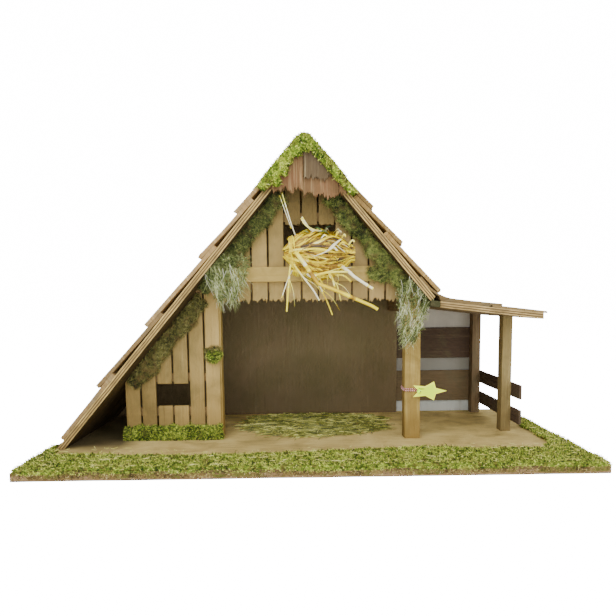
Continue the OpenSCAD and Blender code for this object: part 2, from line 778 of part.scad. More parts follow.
// Hay on the floor, as shares of the room's width and of its depth
hay_shares = [
  [0.1, 0.66], [0.16, 0.84], [0.32, 0.93], [0.5, 0.9], [0.66, 0.95], [0.84, 0.86], [0.97, 0.72],
  [0.93, 0.5], [0.95, 0.32], [0.82, 0.16], [0.66, 0.1], [0.5, 0.02], [0.34, 0.05], [0.22, 0.16],
  [0.12, 0.3], [0.06, 0.48]];
module floor_hay() {
  room_w = right_post_x0 - left_post_x1;
  room_d = wall_front - frame_y;
  color("#9a9a4e") translate([left_post_x1, frame_y, base_t]) linear_extrude(hay_h)
    polygon([for (p = hay_shares) [p[0] * room_w, p[1] * room_d]]);
}

// Solid through rings of points, with closed ends
module ring_solid(rings, sides) {
  n = len(rings) / sides;
  walls = [for (i = [0:n - 2], j = [0:sides - 1])
    let(p = i * sides + j, q = i * sides + (j + 1) % sides)
    each [[p, p + sides, q], [q, p + sides, q + sides]]];
  first = [for (j = [1:sides - 2]) [0, j, j + 1]];
  last = [for (j = [1:sides - 2]) [0, j + 1, j] + (n - 1) * sides * [1, 1, 1]];
  polyhedron(points = rings, faces = concat(walls, first, last));
}

// Sweeps a round section along a path. The reference direction is never along the path.
function unit(v) = v / norm(v);
function along(path, i) = unit(path[min(i + 1, len(path) - 1)] - path[max(i - 1, 0)]);
module swept(path, radii, sides, reference) {
  ring_solid([for (i = [0:len(path) - 1])
    let(t = along(path, i), a = unit(cross(reference, t)), b = cross(t, a))
    for (j = [0:sides - 1])
      path[i] + radii[i] * (cos(360 * j / sides) * a + sin(360 * j / sides) * b)], sides);
}

// Straw nest in front of the loft window, with its back against the gable's cross beam
nest_x = ridge_x + nest_l * 0.15;
nest_back = beam_y - soft_gap;
nest_y = nest_back - nest_d * 0.4;
nest_z = loft_z - nest_h * 0.13;
module nest_shape(grow) {
  rings = 14;
  sides = 20;
  ring_solid([for (i = [0:rings]) let(round = sin(15 + 150 * i / rings), across = cos(15 + 150 * i / rings))
    for (j = [0:sides - 1]) [
      nest_x - (nest_l / 2 + grow) * across / cos(15),
      min(nest_y + (nest_d * 0.6 + grow) * round * cos(360 * j / sides), nest_back + grow),
      nest_z + (nest_h / 2 + grow) * round * sin(360 * j / sides)]], sides);
}
module straw_nest() {
  color("#d8c066") nest_shape(0);
}

// Loose stalks that stick out of the nest. Each has its points in shares of the nest's length,
// depth and height from its middle, and its thickness as a share of the thickest.
stalk_shares = [
  [[[-0.28, -0.3, 0.12], [-0.25, -0.62, 0.02], [-0.16, -0.72, -0.24], [0.02, -0.68, -0.6],
    [0.28, -0.66, -0.8], [0.5, -0.64, -0.94], [0.76, -0.62, -1.1]], 1],
  [[[0.1, -0.3, -0.1], [0.28, -0.44, -0.3], [0.48, -0.46, -0.44], [0.8, -0.48, -0.72]], 0.8],
  [[[-0.1, -0.3, -0.2], [-0.02, -0.46, -0.5], [0.06, -0.48, -0.74], [0.15, -0.48, -1.02],
    [0.22, -0.46, -1.28]], 0.34],
  [[[-0.3, -0.25, 0], [-0.37, -0.4, -0.3], [-0.4, -0.42, -0.7], [-0.43, -0.4, -1.2]], 0.5],
  [[[-0.2, -0.2, -0.1], [-0.36, -0.3, -0.4], [-0.42, -0.36, -0.6], [-0.5, -0.38, -0.92]], 0.3],
  [[[0.1, -0.3, -0.2], [0.2, -0.42, -0.52], [0.29, -0.4, -0.68], [0.34, -0.38, -0.98]], 0.36],
  [[[-0.26, -0.15, 0.2], [-0.36, -0.16, 0.5], [-0.44, -0.16, 0.72], [-0.52, -0.14, 1.16]], 0.32],
  [[[0.02, -0.15, 0.2], [-0.06, -0.24, 0.44], [-0.12, -0.28, 0.58], [-0.22, -0.3, 0.78]], 0.55]];
module straw_stalks() {
  color("#e6d9a0") difference() {
    for (stalk = stalk_shares) {
      path = [for (p = stalk[0])
        [nest_x + p[0] * nest_l, nest_y + p[1] * nest_d, nest_z + p[2] * nest_h]];
      r = stalk[1] * straw_d / 2;
      swept(path, [for (i = [0:len(path) - 1]) r * (i == len(path) - 1 ? 0.7 : 1)], 6, [0, 1, 0]);
    }
    nest_shape(soft_gap);
  }
}

// Star, cut from thin board and drawn out sideways, with the hole for its cord
star_x = right_post_x1 + star_l * 0.23;
star_front = frame_y - 2 * cord_d - star_t;
star_inner_share = 0.5;
star_hole_share = 0.24;
hole_x = star_x - star_hole_share * star_l;
module star() {
  reach = star_l / (1 + cos(36));
  lift = star_h / (2 * cos(18));
  color("#edfb77") difference() {
    along_y(star_front, star_front + star_t) polygon([for (i = [0:9])
      let(r = i % 2 == 0 ? 1 : star_inner_share)
      [star_x + reach * r * cos(36 * i), star_z + lift * r * sin(36 * i)]]);
    translate([hole_x, star_front + star_t + overrun, star_z]) rotate([90, 0, 0])
      cylinder(d = 1.6 * cord_d, h = star_t + 2 * overrun, $fn = 24);
  }
}

// Red cord: knotted in front of the star, through its hole and twice round the post
cord_turns = 2;
cord_steps = 32;
cord_pitch = 2 * cord_d;
cord_squareness = 24;
cord_half = post_w / 2 + cord_d / 2 + soft_gap;
cord_mid = [(right_post_x0 + right_post_x1) / 2, frame_y + post_w / 2];
function cord_turn(i) =
  let(a = -55 - 360 * i / cord_steps,
    r = cord_half / pow(pow(abs(cos(a)), cord_squareness) + pow(abs(sin(a)), cord_squareness),
      1 / cord_squareness))
  [cord_mid[0] + r * cos(a), cord_mid[1] + r * sin(a), star_z + cord_pitch * i / cord_steps];
cord_lead = [
  [hole_x, star_front - 1.5 * cord_d, star_z], [hole_x, star_front, star_z],
  [hole_x, star_front + star_t, star_z]];
cord_path = concat(cord_lead, [for (i = [0:cord_turns * cord_steps]) cord_turn(i)]);
cord_gap = min([for (i = [0:len(cord_path) - 1], j = [i + cord_steps / 2:1:len(cord_path) - 1])
  norm(cord_path[i] - cord_path[j])]) - cord_d;
echo(str("Least gap of the red cord to itself: ", cord_gap, " mm"));
module star_cord() {
  color("#c1524f") swept(cord_path, [for (p = cord_path) cord_d / 2], 6, [0.1, 0.2, 1]);
}

base_board();
back_wall();
left_roof_panel();
right_roof_panel();
lean_to_roof_panel();
ridge_beam();
eaves_plate();
valley_strip();
left_shingles_1();
left_shingles_2();
left_shingles_3();
left_shingles_4();
left_shingles_5();
right_shingles_1();
right_shingles_2();
right_shingles_3();
lean_to_shingles();
valley_shingles();
left_post();
right_post();
gable_tie();
loft_batten();
gable_beam();
wall_slat_1();
wall_slat_2();
wall_slat_3();
wall_slat_4();
wall_slat_5();
wall_slat_6();
window_head_slats();
wall_battens();
gable_slats_left();
loft_slats();
gable_slats_right();
lean_to_front_post();
lean_to_rear_post();
upper_side_rail();
lower_side_rail();
upper_back_board();
lower_back_board();
lean_to_back_sheet();
hood_board_left();
hood_board_right();
hood_board_outer();
hood_board_over();
post_screws();
brads();
base_moss();
wall_foot_moss();
ridge_moss();
gable_moss_left();
gable_moss_right();
wall_moss();
lichen_left();
lichen_right();
floor_hay();
straw_nest();
straw_stalks();
star();
star_cord();
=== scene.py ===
import bpy
import bmesh
import json
import math
import random
from contextlib import contextmanager
from mathutils import Euler, Matrix, Vector, noise

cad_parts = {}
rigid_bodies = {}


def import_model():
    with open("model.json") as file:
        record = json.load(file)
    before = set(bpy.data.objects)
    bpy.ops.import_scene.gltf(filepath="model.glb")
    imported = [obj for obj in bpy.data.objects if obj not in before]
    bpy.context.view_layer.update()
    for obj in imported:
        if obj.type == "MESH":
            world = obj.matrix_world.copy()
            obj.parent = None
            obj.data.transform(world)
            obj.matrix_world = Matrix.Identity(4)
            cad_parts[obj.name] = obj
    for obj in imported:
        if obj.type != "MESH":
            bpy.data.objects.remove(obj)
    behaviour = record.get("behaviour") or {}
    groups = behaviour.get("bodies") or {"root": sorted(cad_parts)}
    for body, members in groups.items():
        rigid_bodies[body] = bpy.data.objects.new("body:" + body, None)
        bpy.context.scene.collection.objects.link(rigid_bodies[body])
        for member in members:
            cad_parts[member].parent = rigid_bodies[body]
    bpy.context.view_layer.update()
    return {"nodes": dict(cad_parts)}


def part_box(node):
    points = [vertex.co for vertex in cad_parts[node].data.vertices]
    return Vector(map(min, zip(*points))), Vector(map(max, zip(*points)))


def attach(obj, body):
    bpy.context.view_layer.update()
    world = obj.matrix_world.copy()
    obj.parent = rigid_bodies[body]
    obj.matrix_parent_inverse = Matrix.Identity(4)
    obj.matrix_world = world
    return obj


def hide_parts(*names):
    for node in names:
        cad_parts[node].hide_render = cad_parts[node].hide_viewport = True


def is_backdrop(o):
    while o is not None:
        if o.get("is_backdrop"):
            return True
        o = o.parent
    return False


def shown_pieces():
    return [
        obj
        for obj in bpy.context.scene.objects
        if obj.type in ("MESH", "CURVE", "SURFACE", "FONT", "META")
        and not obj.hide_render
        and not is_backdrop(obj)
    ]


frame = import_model()
nodes = frame["nodes"]
mm = 0.001
noise.seed_set(7)  # the same wear on every run
print("model loaded:", len(nodes), "nodes")

# Directions: upright, sideways, front to back, down the three roof slopes and out of the two steep ones
up = Vector((0, 0, 1))
side = Vector((1, 0, 0))
back = Vector((0, 1, 0))
steep, flat = math.radians(50), math.radians(6.9)
leftDown = Vector((-math.cos(steep), 0, -math.sin(steep)))
rightDown = Vector((math.cos(steep), 0, -math.sin(steep)))
leanDown = Vector((math.cos(flat), 0, -math.sin(flat)))
leftOut = Vector((-math.sin(steep), 0, math.cos(steep)))
rightOut = Vector((math.sin(steep), 0, math.cos(steep)))
ridge = Vector((-3.44, 0, 342)) * mm
ridgeX = ridge.x / mm

# Camera, light and floor

camera = {
    "spot": (-0.01232, -0.74309, 0.17360),
    "right": (0.99981, -0.01614, -0.01054),
    "up": (0.01219, 0.10593, 0.99430),
    "back": (-0.01494, -0.99424, 0.10611),
    "sensor": 36,
    "lens": 36 * 600 / 616,
    "shiftUp": 58.8 / 616,
}
studio = {
    "skyStrength": 0.52,
    "backdrop": 16.0,
    "lamps": [  # spot, size and power
        ((-0.8, -1.6, 1.8), 1.4, 45),
        ((1.3, -1.2, 1.3), 1.2, 16),
        ((0.0, -2.2, 0.45), 1.3, 27),
        ((0.1, 1.2, 1.9), 1.6, 9),
    ],
    "aim": (0, 0, 0.15),
    "floor": (0.93, 0.93, 0.92, 1),
    "floorSize": 8,
    "floorLevel": -0.4 * mm,
    "floorGlow": 15.5,
    "floorLight": 0.15,
}


def placeCamera(values):
    bpy.ops.object.camera_add(location=values["spot"])
    eye = bpy.context.object
    eye.name = "photoCamera"
    eye.rotation_euler = Matrix((values["right"], values["up"], values["back"])).transposed().to_euler()
    eye.data.sensor_width = values["sensor"]
    eye.data.lens = values["lens"]
    eye.data.shift_y = values["shiftUp"]
    eye.data.clip_start = 0.01
    bpy.context.scene.camera = eye


def seenGlow(tree, seen, otherwise):
    # one strength for what the camera sees and another for the light that falls on the object
    ray = put(tree, "ShaderNodeLightPath").outputs["Is Camera Ray"]
    return reckon(tree, "MULTIPLY_ADD", ray, seen, otherwise)


def lightStudio(values):
    sky = bpy.data.worlds.new("paleSky")
    sky.use_nodes = True
    light = sky.node_tree.nodes["Background"].inputs
    light["Color"].default_value = (1, 1, 1, 1)
    strength = seenGlow(sky.node_tree, values["backdrop"] - values["skyStrength"], values["skyStrength"])
    sky.node_tree.links.new(strength, light["Strength"])
    bpy.context.scene.world = sky
    for spot, size, power in values["lamps"]:
        bpy.ops.object.light_add(type="AREA", location=spot)
        lamp = bpy.context.object
        lamp.data.size = size
        lamp.data.energy = power
        lamp.rotation_euler = (Vector(values["aim"]) - Vector(spot)).to_track_quat("-Z", "Y").to_euler()
    bpy.ops.mesh.primitive_plane_add(size=values["floorSize"], location=(0, 0, values["floorLevel"]))
    floor = bpy.context.object
    floor.name = "paleFloor"
    tree, shader = startMaterial("floorPaper", 0.9, 0.1)
    shader["Base Color"].default_value = values["floor"]
    shader["Emission Color"].default_value = (1, 1, 1, 1)
    tree.links.new(seenGlow(tree, values["floorGlow"], values["floorLight"]), shader["Emission Strength"])
    floor.data.materials.append(finishes["floorPaper"])
    floor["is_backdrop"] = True


# Small tools for materials. A colour is a screen colour from 0 to 255, or one number for a grey level.

finishes = {}


def linear(colour):
    if isinstance(colour, (int, float)):
        return (colour, colour, colour, 1)
    return (*[((c / 255 + 0.055) / 1.055) ** 2.4 if c > 10 else c / 3294.6 for c in colour], 1)


def put(tree, kind, inputs={}, **settings):
    # adds a node, sets it up, and links or fills its inputs
    node = tree.nodes.new(kind)
    for key, value in settings.items():
        setattr(node, key, value)
    for key, value in inputs.items():
        if isinstance(value, bpy.types.NodeSocket):
            tree.links.new(value, node.inputs[key])
        else:
            node.inputs[key].default_value = value
    return node


def startMaterial(name, roughness, specular):
    material = bpy.data.materials.new(name)
    finishes[name] = material
    material.use_nodes = True
    shader = material.node_tree.nodes["Principled BSDF"].inputs
    shader["Roughness"].default_value = roughness
    shader["Specular IOR Level"].default_value = specular
    return material.node_tree, shader


def objectPoint(tree, turn=0, stretch=(1, 1, 1), shift=(0, 0, 0)):
    # object coordinates, turned about the front-to-back line, then stretched
    place = put(tree, "ShaderNodeTexCoord").outputs["Object"]
    for change in ({"Rotation": (0, math.radians(turn), 0)}, {"Scale": stretch, "Location": shift}):
        place = put(tree, "ShaderNodeMapping", {"Vector": place, **change}).outputs[0]
    return place


def noiseOn(tree, point, scale, detail=4, roughness=0.55, distortion=0):
    return put(tree, "ShaderNodeTexNoise", {"Vector": point, "Scale": scale, "Detail": detail,
                                            "Roughness": roughness, "Distortion": distortion}).outputs[0]


def rampOn(tree, value, *stops):
    # a ramp of (place, colour) stops
    node = put(tree, "ShaderNodeValToRGB", {"Fac": value})
    row = node.color_ramp.elements
    for element, (place, colour) in zip(row, (stops[0], stops[-1])):
        element.position = place
        element.color = linear(colour)
    for place, colour in stops[1:-1]:
        row.new(place).color = linear(colour)
    return node.outputs[0]


def blend(tree, share, first, second, way="MIX"):
    first, second = [linear(colour) if isinstance(colour, tuple) else colour for colour in (first, second)]
    mixed = put(tree, "ShaderNodeMix", {0: share, 6: first, 7: second}, data_type="RGBA", blend_type=way)
    return mixed.outputs[2]


def reckon(tree, way, *numbers):
    return put(tree, "ShaderNodeMath", dict(enumerate(numbers)), operation=way).outputs[0]


def mulAdd(tree, value, factor, added):
    return reckon(tree, "MULTIPLY_ADD", value, factor, added)


def alongAxis(tree, vector, axis):
    return put(tree, "ShaderNodeSeparateXYZ", {0: vector}).outputs["xyz".index(axis)]


def facing(tree, axis):
    return alongAxis(tree, put(tree, "ShaderNodeNewGeometry").outputs["True Normal"], axis)


def ownValue(tree, name):
    return put(tree, "ShaderNodeAttribute", attribute_name=name).outputs["Fac"]


def dress(tree, shader, colour, bump, distance, strength=0.7, rough=None):
    # links the colour, the roughness and the relief
    tree.links.new(colour, shader["Base Color"])
    if rough:
        tree.links.new(rough, shader["Roughness"])
    relief = put(tree, "ShaderNodeBump", {"Height": bump, "Distance": distance * mm, "Strength": strength})
    tree.links.new(relief.outputs[0], shader["Normal"])


# Wood finishes. "grain" is the axis the fibres run along, after the turn.

def stretchFor(grain, across, along):
    return tuple(along if axis == grain else across for axis in "xyz")


def woodFinish(name, look):
    tree, shader = startMaterial(name, 0.8, 0.22)
    turn, grain = look.get("turn", 0), look["grain"]
    fine = objectPoint(tree, turn, stretchFor(grain, 1000 / look["fibre"], 22))
    fibres = noiseOn(tree, fine, 1, 6, 0.62, 0.3)
    broad = objectPoint(tree, turn, stretchFor(grain, 150 / look["fibre"], 6), (3, 1, 2))
    bands = noiseOn(tree, broad, 1, 4, 0.6, 1.2)
    plain = objectPoint(tree)
    patches = noiseOn(tree, plain, look.get("patch", 30), 4, 0.6, 0.4)
    level = mulAdd(tree, fibres, 0.55, reckon(tree, "MULTIPLY", bands, 0.5))
    calm = look.get("calm", 0)
    colour = rampOn(tree, level, (0.3 - calm, look["dark"]), (0.46 - calm / 3, look["mid"]),
                    (0.56 + calm / 3, look["mid"]), (0.7 + calm, look["light"]))
    colour = blend(tree, rampOn(tree, patches, (0.47, 0), (0.68, 0.6)), colour, look["stain"])
    if look.get("cracks"):
        cells = objectPoint(tree, turn, stretchFor(grain, 210, 16), (1, 5, 2))
        lines = put(tree, "ShaderNodeTexVoronoi", {"Vector": cells, "Scale": 1}, feature="DISTANCE_TO_EDGE")
        cracked = rampOn(tree, lines.outputs[0], (0.0, look["cracks"]), (0.06, 0))
        colour = blend(tree, cracked, colour, look["dark"])
    if grain == "z":  # darker towards the ground, and darker up beneath the roof: painted shadow of the hood with some dirt
        height = alongAxis(tree, plain, "z")
        # darker towards the ground
        grime = rampOn(tree, mulAdd(tree, patches, -0.06, height), (0.0, look.get("grime", 0.45)), (0.075, 0))
        colour = blend(tree, grime, colour, look["stain"], "MULTIPLY")
        # painted shadow of the hood, with some dirt, darkens the wood up beneath the roof
        if look.get("soot"):
            hoodShadowAndDirtMask = rampOn(tree, mulAdd(tree, patches, 0.02, height), (0.25, 0), (0.275, 1))
            colour = blend(tree, hoodShadowAndDirtMask, colour, look["soot"], "MULTIPLY")
    value = mulAdd(tree, ownValue(tree, "tint"), look.get("variety", 0.35), 1.0)  # each board has its own
    colour = put(tree, "ShaderNodeHueSaturation", {"Value": value, "Color": colour}).outputs[0]
    rough = rampOn(tree, fibres, (0.3, 0.95), (0.7, 0.66))
    dress(tree, shader, colour, level, look.get("relief", 0.9), rough=rough)


def plyFinish(name, look):
    # a cream board whose edges show its layers
    tree, shader = startMaterial(name, 0.75, 0.25)
    turn, thick, start = look["turn"], look["thick"], look["start"]
    angle = math.radians(turn)
    base = -start.x * math.sin(angle) + start.z * math.cos(angle)
    wander = noiseOn(tree, objectPoint(tree, turn, (30, 30, 200)), 1, 3)
    layer = mulAdd(tree, alongAxis(tree, objectPoint(tree, turn), "z"), 1 / thick, -base / thick)
    layer = mulAdd(tree, wander, 0.08, reckon(tree, "SUBTRACT", layer, 0.04))
    light, dark, tan = look["light"], look["dark"], look["tan"]
    colour = rampOn(tree, layer, (0.0, light), (0.2, light), (0.24, dark), (0.33, dark), (0.37, tan),
                    (0.45, tan), (0.48, light), (0.58, light), (0.62, dark), (0.71, dark), (0.75, tan),
                    (0.84, light), (1.0, light))
    fibres = noiseOn(tree, objectPoint(tree, turn, (60, 900, 900)), 1, 5, 0.6, 0.2)
    colour = blend(tree, rampOn(tree, fibres, (0.35, 0.55), (0.62, 0)), colour, dark)
    dirt = noiseOn(tree, objectPoint(tree), 45, 4, 0.6)
    colour = blend(tree, rampOn(tree, dirt, (0.44, 0), (0.7, 0.6)), colour, look["dirt"])
    # painted shade: faces that look down are darkened by the under colour
    below = reckon(tree, "LESS_THAN", facing(tree, "z"), -0.4)
    colour = blend(tree, below, colour, look["under"], "MULTIPLY")
    rough = rampOn(tree, dirt, (0.3, 0.68), (0.7, 0.88))
    dress(tree, shader, colour, mulAdd(tree, fibres, 0.6, dirt), 0.4, rough=rough)


postLook = {"dark": (112, 88, 44), "mid": (180, 152, 84), "light": (212, 188, 112), "stain": (142, 120, 62),
            "grain": "z", "fibre": 1.9}
slatLook = {"dark": (104, 80, 44), "mid": (172, 146, 88), "light": (204, 180, 116), "stain": (132, 116, 70),
            "grain": "z", "fibre": 1.7, "variety": 0.45, "calm": 0.08}
boardLook = {"dark": (38, 28, 20), "mid": (82, 66, 52), "light": (114, 96, 72), "stain": (92, 84, 60),
             "grain": "x", "fibre": 2.0, "variety": 0.6, "calm": 0.04}
railLook = {**boardLook, "grain": "y"}
shingleLook = {"dark": (70, 50, 30), "mid": (150, 122, 78), "light": (196, 170, 122), "stain": (120, 110, 84),
               "grain": "x", "fibre": 1.8, "cracks": 0.25, "relief": 1.4, "variety": 0.6, "patch": 40}
hoodLook = {"dark": (42, 27, 16), "mid": (108, 80, 50), "light": (148, 120, 82), "stain": (122, 84, 56),
            "grain": "z", "fibre": 2.0, "relief": 2.6, "variety": 0.7, "patch": 34, "calm": -0.04}
woods = {
    "postWood": postLook,
    "leanPostWood": {**postLook, "dark": (92, 76, 44), "mid": (149, 130, 83), "light": (184, 165, 110),
                     "stain": (120, 106, 66)},
    # painted shade: a darker, greyer copy of the post finish for the rear post, which stands in shadow
    "shadedRearPostWood": {**postLook, "dark": (62, 50, 36), "mid": (110, 91, 65), "light": (138, 117, 85),
                     "stain": (92, 84, 60), "grime": 0},
    "slatWood": slatLook,
    # the loft slats get the painted shadow of the hood, with some dirt
    "loftSlat": {**slatLook, "soot": (184, 182, 178), "patch": 60},
    "shadedSlat": {**slatLook, "mid": (152, 128, 80), "light": (184, 160, 106)},
    "beamWood": {"dark": (112, 86, 44), "mid": (178, 152, 84), "light": (208, 186, 114),
                 "stain": (132, 114, 62), "grain": "x", "fibre": 1.7, "calm": 0.08},
    "innerTimber": {"dark": (80, 62, 36), "mid": (128, 104, 66), "light": (158, 134, 90),
                    "stain": (92, 78, 48), "grain": "y", "fibre": 1.3},
    "wallWood": {"dark": (98, 82, 58), "mid": (134, 116, 84), "light": (158, 140, 104),
                 "stain": (118, 110, 70), "grain": "z", "fibre": 3.0, "patch": 9, "calm": 0.1},
    "darkBoard": boardLook,
    # painted light: the lower back board is a lighter copy of the board finish, as it lies further from the
    # roof's shade
    "lowBoard": {**boardLook, "dark": (52, 40, 28), "mid": (104, 88, 62), "light": (134, 118, 84)},
    "darkRail": railLook,
    "valleyWood": {**railLook, "dark": (28, 26, 14), "mid": (62, 58, 34), "light": (96, 90, 56),
                   "stain": (56, 60, 30)},
    "leftShingle": {**shingleLook, "turn": -50},
    "rightShingle": {**shingleLook, "turn": 50, "mid": (142, 114, 64), "light": (184, 154, 98),
                     "stain": (128, 108, 68)},
    "leanShingle": {**shingleLook, "turn": 6.9, "mid": (136, 112, 70)},
    "hoodBark": hoodLook,
    "hoodBrown": {**hoodLook, "mid": (98, 74, 46), "light": (134, 110, 76)},
    "hoodGrey": {**hoodLook, "mid": (106, 88, 62), "light": (142, 126, 94), "stain": (104, 88, 66)},
}
plyLook = {"light": (212, 182, 112), "tan": (166, 134, 76), "dark": (60, 42, 22), "dirt": (104, 86, 52),
           "under": (104, 98, 92), "thick": 7 * mm, "start": ridge}
plies = {
    "leftPly": {**plyLook, "turn": 50},
    "rightPly": {**plyLook, "turn": -50},
    "leanPly": {**plyLook, "turn": -6.9, "light": (206, 176, 116), "tan": (180, 148, 92),
                "start": Vector((148.3, 0, 166.7)) * mm, "under": (176, 170, 160)},
}
for name, look in woods.items():
    woodFinish(name, look)
for name, look in plies.items():
    plyFinish(name, look)


def baseFinish(name, look):
    # sandy board; its edge is earthy above and bare wood with a dark line at the bottom
    tree, shader = startMaterial(name, 0.85, 0.2)
    fibres = noiseOn(tree, objectPoint(tree, 0, (40, 700, 700)), 1, 6, 0.65, 0.3)
    grit = noiseOn(tree, objectPoint(tree), 900, 3, 0.7)
    patches = noiseOn(tree, objectPoint(tree), 22, 5, 0.6, 0.5)
    top = rampOn(tree, mulAdd(tree, fibres, 0.5, reckon(tree, "MULTIPLY", patches, 0.5)),
                 (0.34, look["dark"]), (0.5, look["sand"]), (0.66, look["light"]))
    top = blend(tree, rampOn(tree, grit, (0.56, 0), (0.72, 0.6)), top, look["grit"])
    place = put(tree, "ShaderNodeSeparateXYZ", {0: objectPoint(tree, 0, (1, 1, 1000))}).outputs
    # painted shade: the board's top is darkened in the nook at the left, towards the back
    leftward = rampOn(tree, mulAdd(tree, place[0], -10, -2.0), (0.0, 0), (0.25, 0.85))
    inward = rampOn(tree, mulAdd(tree, place[1], 8, 0.7), (0.0, 0), (0.35, 1))
    nook = reckon(tree, "MULTIPLY", leftward, inward)  # dark, at the left
    top = blend(tree, nook, top, look["damp"])
    height = mulAdd(tree, patches, 2.4, reckon(tree, "SUBTRACT", place[2], 1.2))
    edge = rampOn(tree, reckon(tree, "DIVIDE", height, 12), (0.0, look["line"]), (0.05, look["line"]),
                  (0.1, look["bare"]), (0.42, look["bare"]), (0.5, look["earth"]), (0.86, look["earth"]),
                  (0.95, look["sand"]))
    edge = blend(tree, rampOn(tree, fibres, (0.36, 0.7), (0.6, 0)), edge, look["earth"])
    colour = blend(tree, reckon(tree, "GREATER_THAN", facing(tree, "z"), 0.6), edge, top)
    dress(tree, shader, colour, mulAdd(tree, fibres, 0.7, grit), 0.5)


baseFinish("baseWood", {"dark": (134, 114, 62), "sand": (194, 170, 104), "light": (219, 197, 129),
                        "grit": (116, 98, 52), "bare": (162, 132, 98), "line": (66, 48, 36),
                        "earth": (104, 84, 52), "damp": (64, 56, 40)})


def sheetFinish(name):
    # pale painted hardboard: faint brushed streaks and a few knocks; its front face has painted shade, darker
    # at mid height
    tree, shader = startMaterial(name, 0.6, 0.3)
    streaks = noiseOn(tree, objectPoint(tree, 0, (60, 60, 9)), 1, 4, 0.6, 0.4)
    knocks = noiseOn(tree, objectPoint(tree), 70, 3, 0.5)
    # painted shade on the front face: darkest at mid height, lighter towards the top and the bottom; the rear
    # face stays evenly pale
    level = mulAdd(tree, alongAxis(tree, objectPoint(tree), "z"), -5, mulAdd(tree, streaks, 0.45, 0.75))
    inside = rampOn(tree, level, (0.1, (204, 197, 182)), (0.32, (190, 184, 170)), (0.5, (145, 141, 130)),
                    (0.68, (140, 138, 127)), (0.85, (186, 189, 182)), (1.0, (194, 198, 192)))
    outside = rampOn(tree, streaks, (0.3, (158, 154, 143)), (0.7, (200, 202, 196)))
    colour = blend(tree, reckon(tree, "GREATER_THAN", facing(tree, "y"), 0.5), inside, outside)
    colour = blend(tree, rampOn(tree, knocks, (0.7, 0), (0.78, 0.6)), colour, (118, 112, 100))
    dress(tree, shader, colour, mulAdd(tree, knocks, 0.5, streaks), 0.3, 0.4,
          rampOn(tree, streaks, (0.3, 0.5), (0.7, 0.72)))


def steelFinish(name):
    tree, shader = startMaterial(name, 0.4, 0.5)
    shader["Metallic"].default_value = 1
    scratches = noiseOn(tree, objectPoint(tree, 0, (900, 900, 200)), 1, 4)
    colour = rampOn(tree, scratches, (0.3, (150, 150, 148)), (0.7, (196, 196, 194)))
    tree.links.new(colour, shader["Base Color"])
    tree.links.new(rampOn(tree, scratches, (0.3, 0.5), (0.7, 0.3)), shader["Roughness"])


sheetFinish("paleSheet")
steelFinish("steel")


# Moss, lichen, hay and straw: "tip" runs from 0 at a sprig's root to 1 at its end

def mossFinish(name, look):
    tree, shader = startMaterial(name, 0.85, 0.2)
    patch, flecks = look.get("patch", 55), look["flecks"]
    patches = noiseOn(tree, objectPoint(tree), patch, 4, 0.6)
    level = mulAdd(tree, ownValue(tree, "tip"), 0.3, mulAdd(tree, patches, 1.1, -0.18))
    level = mulAdd(tree, ownValue(tree, "tint"), look.get("spread", 0.8), level)
    speckle = noiseOn(tree, objectPoint(tree, 0, (1, 1, 1), (4, 1, 2)), 330, 3, 0.6)
    level = mulAdd(tree, reckon(tree, "SUBTRACT", speckle, 0.5), look.get("speckle", 0.6), level)
    colour = rampOn(tree, level, (0.12, look["root"]), (0.42, look["mid"]), (0.68, look["light"]),
                    (0.95, look["tip"]))
    brown = noiseOn(tree, objectPoint(tree, 0, (1, 1, 1), (2, 3, 1)), patch * 1.7, 3)
    colour = blend(tree, rampOn(tree, brown, (0.5, 0), (0.66, look.get("dry", 0.5))), colour, look["brown"])
    fleck = rampOn(tree, reckon(tree, "ADD", ownValue(tree, "tint"), 0.5), (flecks, 0), (flecks + 0.02, 0.85))
    colour = blend(tree, fleck, colour, look["fleck"])
    dress(tree, shader, colour, noiseOn(tree, objectPoint(tree), 1400, 3, 0.6), 0.5, 0.6)


def strawFinish(name, look):
    # the strand's own tint from 0 to 1 picks its colour
    tree, shader = startMaterial(name, 0.42, 0.45)
    speck = noiseOn(tree, objectPoint(tree), 260, 4, 0.6)
    pick = mulAdd(tree, speck, 0.3, reckon(tree, "SUBTRACT", ownValue(tree, "tint"), 0.15))
    pick = reckon(tree, "ADD", pick, rampOn(tree, ownValue(tree, "tip"), (0.86, 0), (1.0, 0.3)))
    streaks = rampOn(tree, noiseOn(tree, objectPoint(tree), 900, 3), (0.55, 0), (0.75, 0.5))
    colour = blend(tree, streaks, rampOn(tree, pick, *look["stops"]), look["streak"])
    dress(tree, shader, colour, noiseOn(tree, objectPoint(tree), 1500, 2), 0.15, 0.4,
          rampOn(tree, speck, (0.3, 0.32), (0.7, 0.6)))


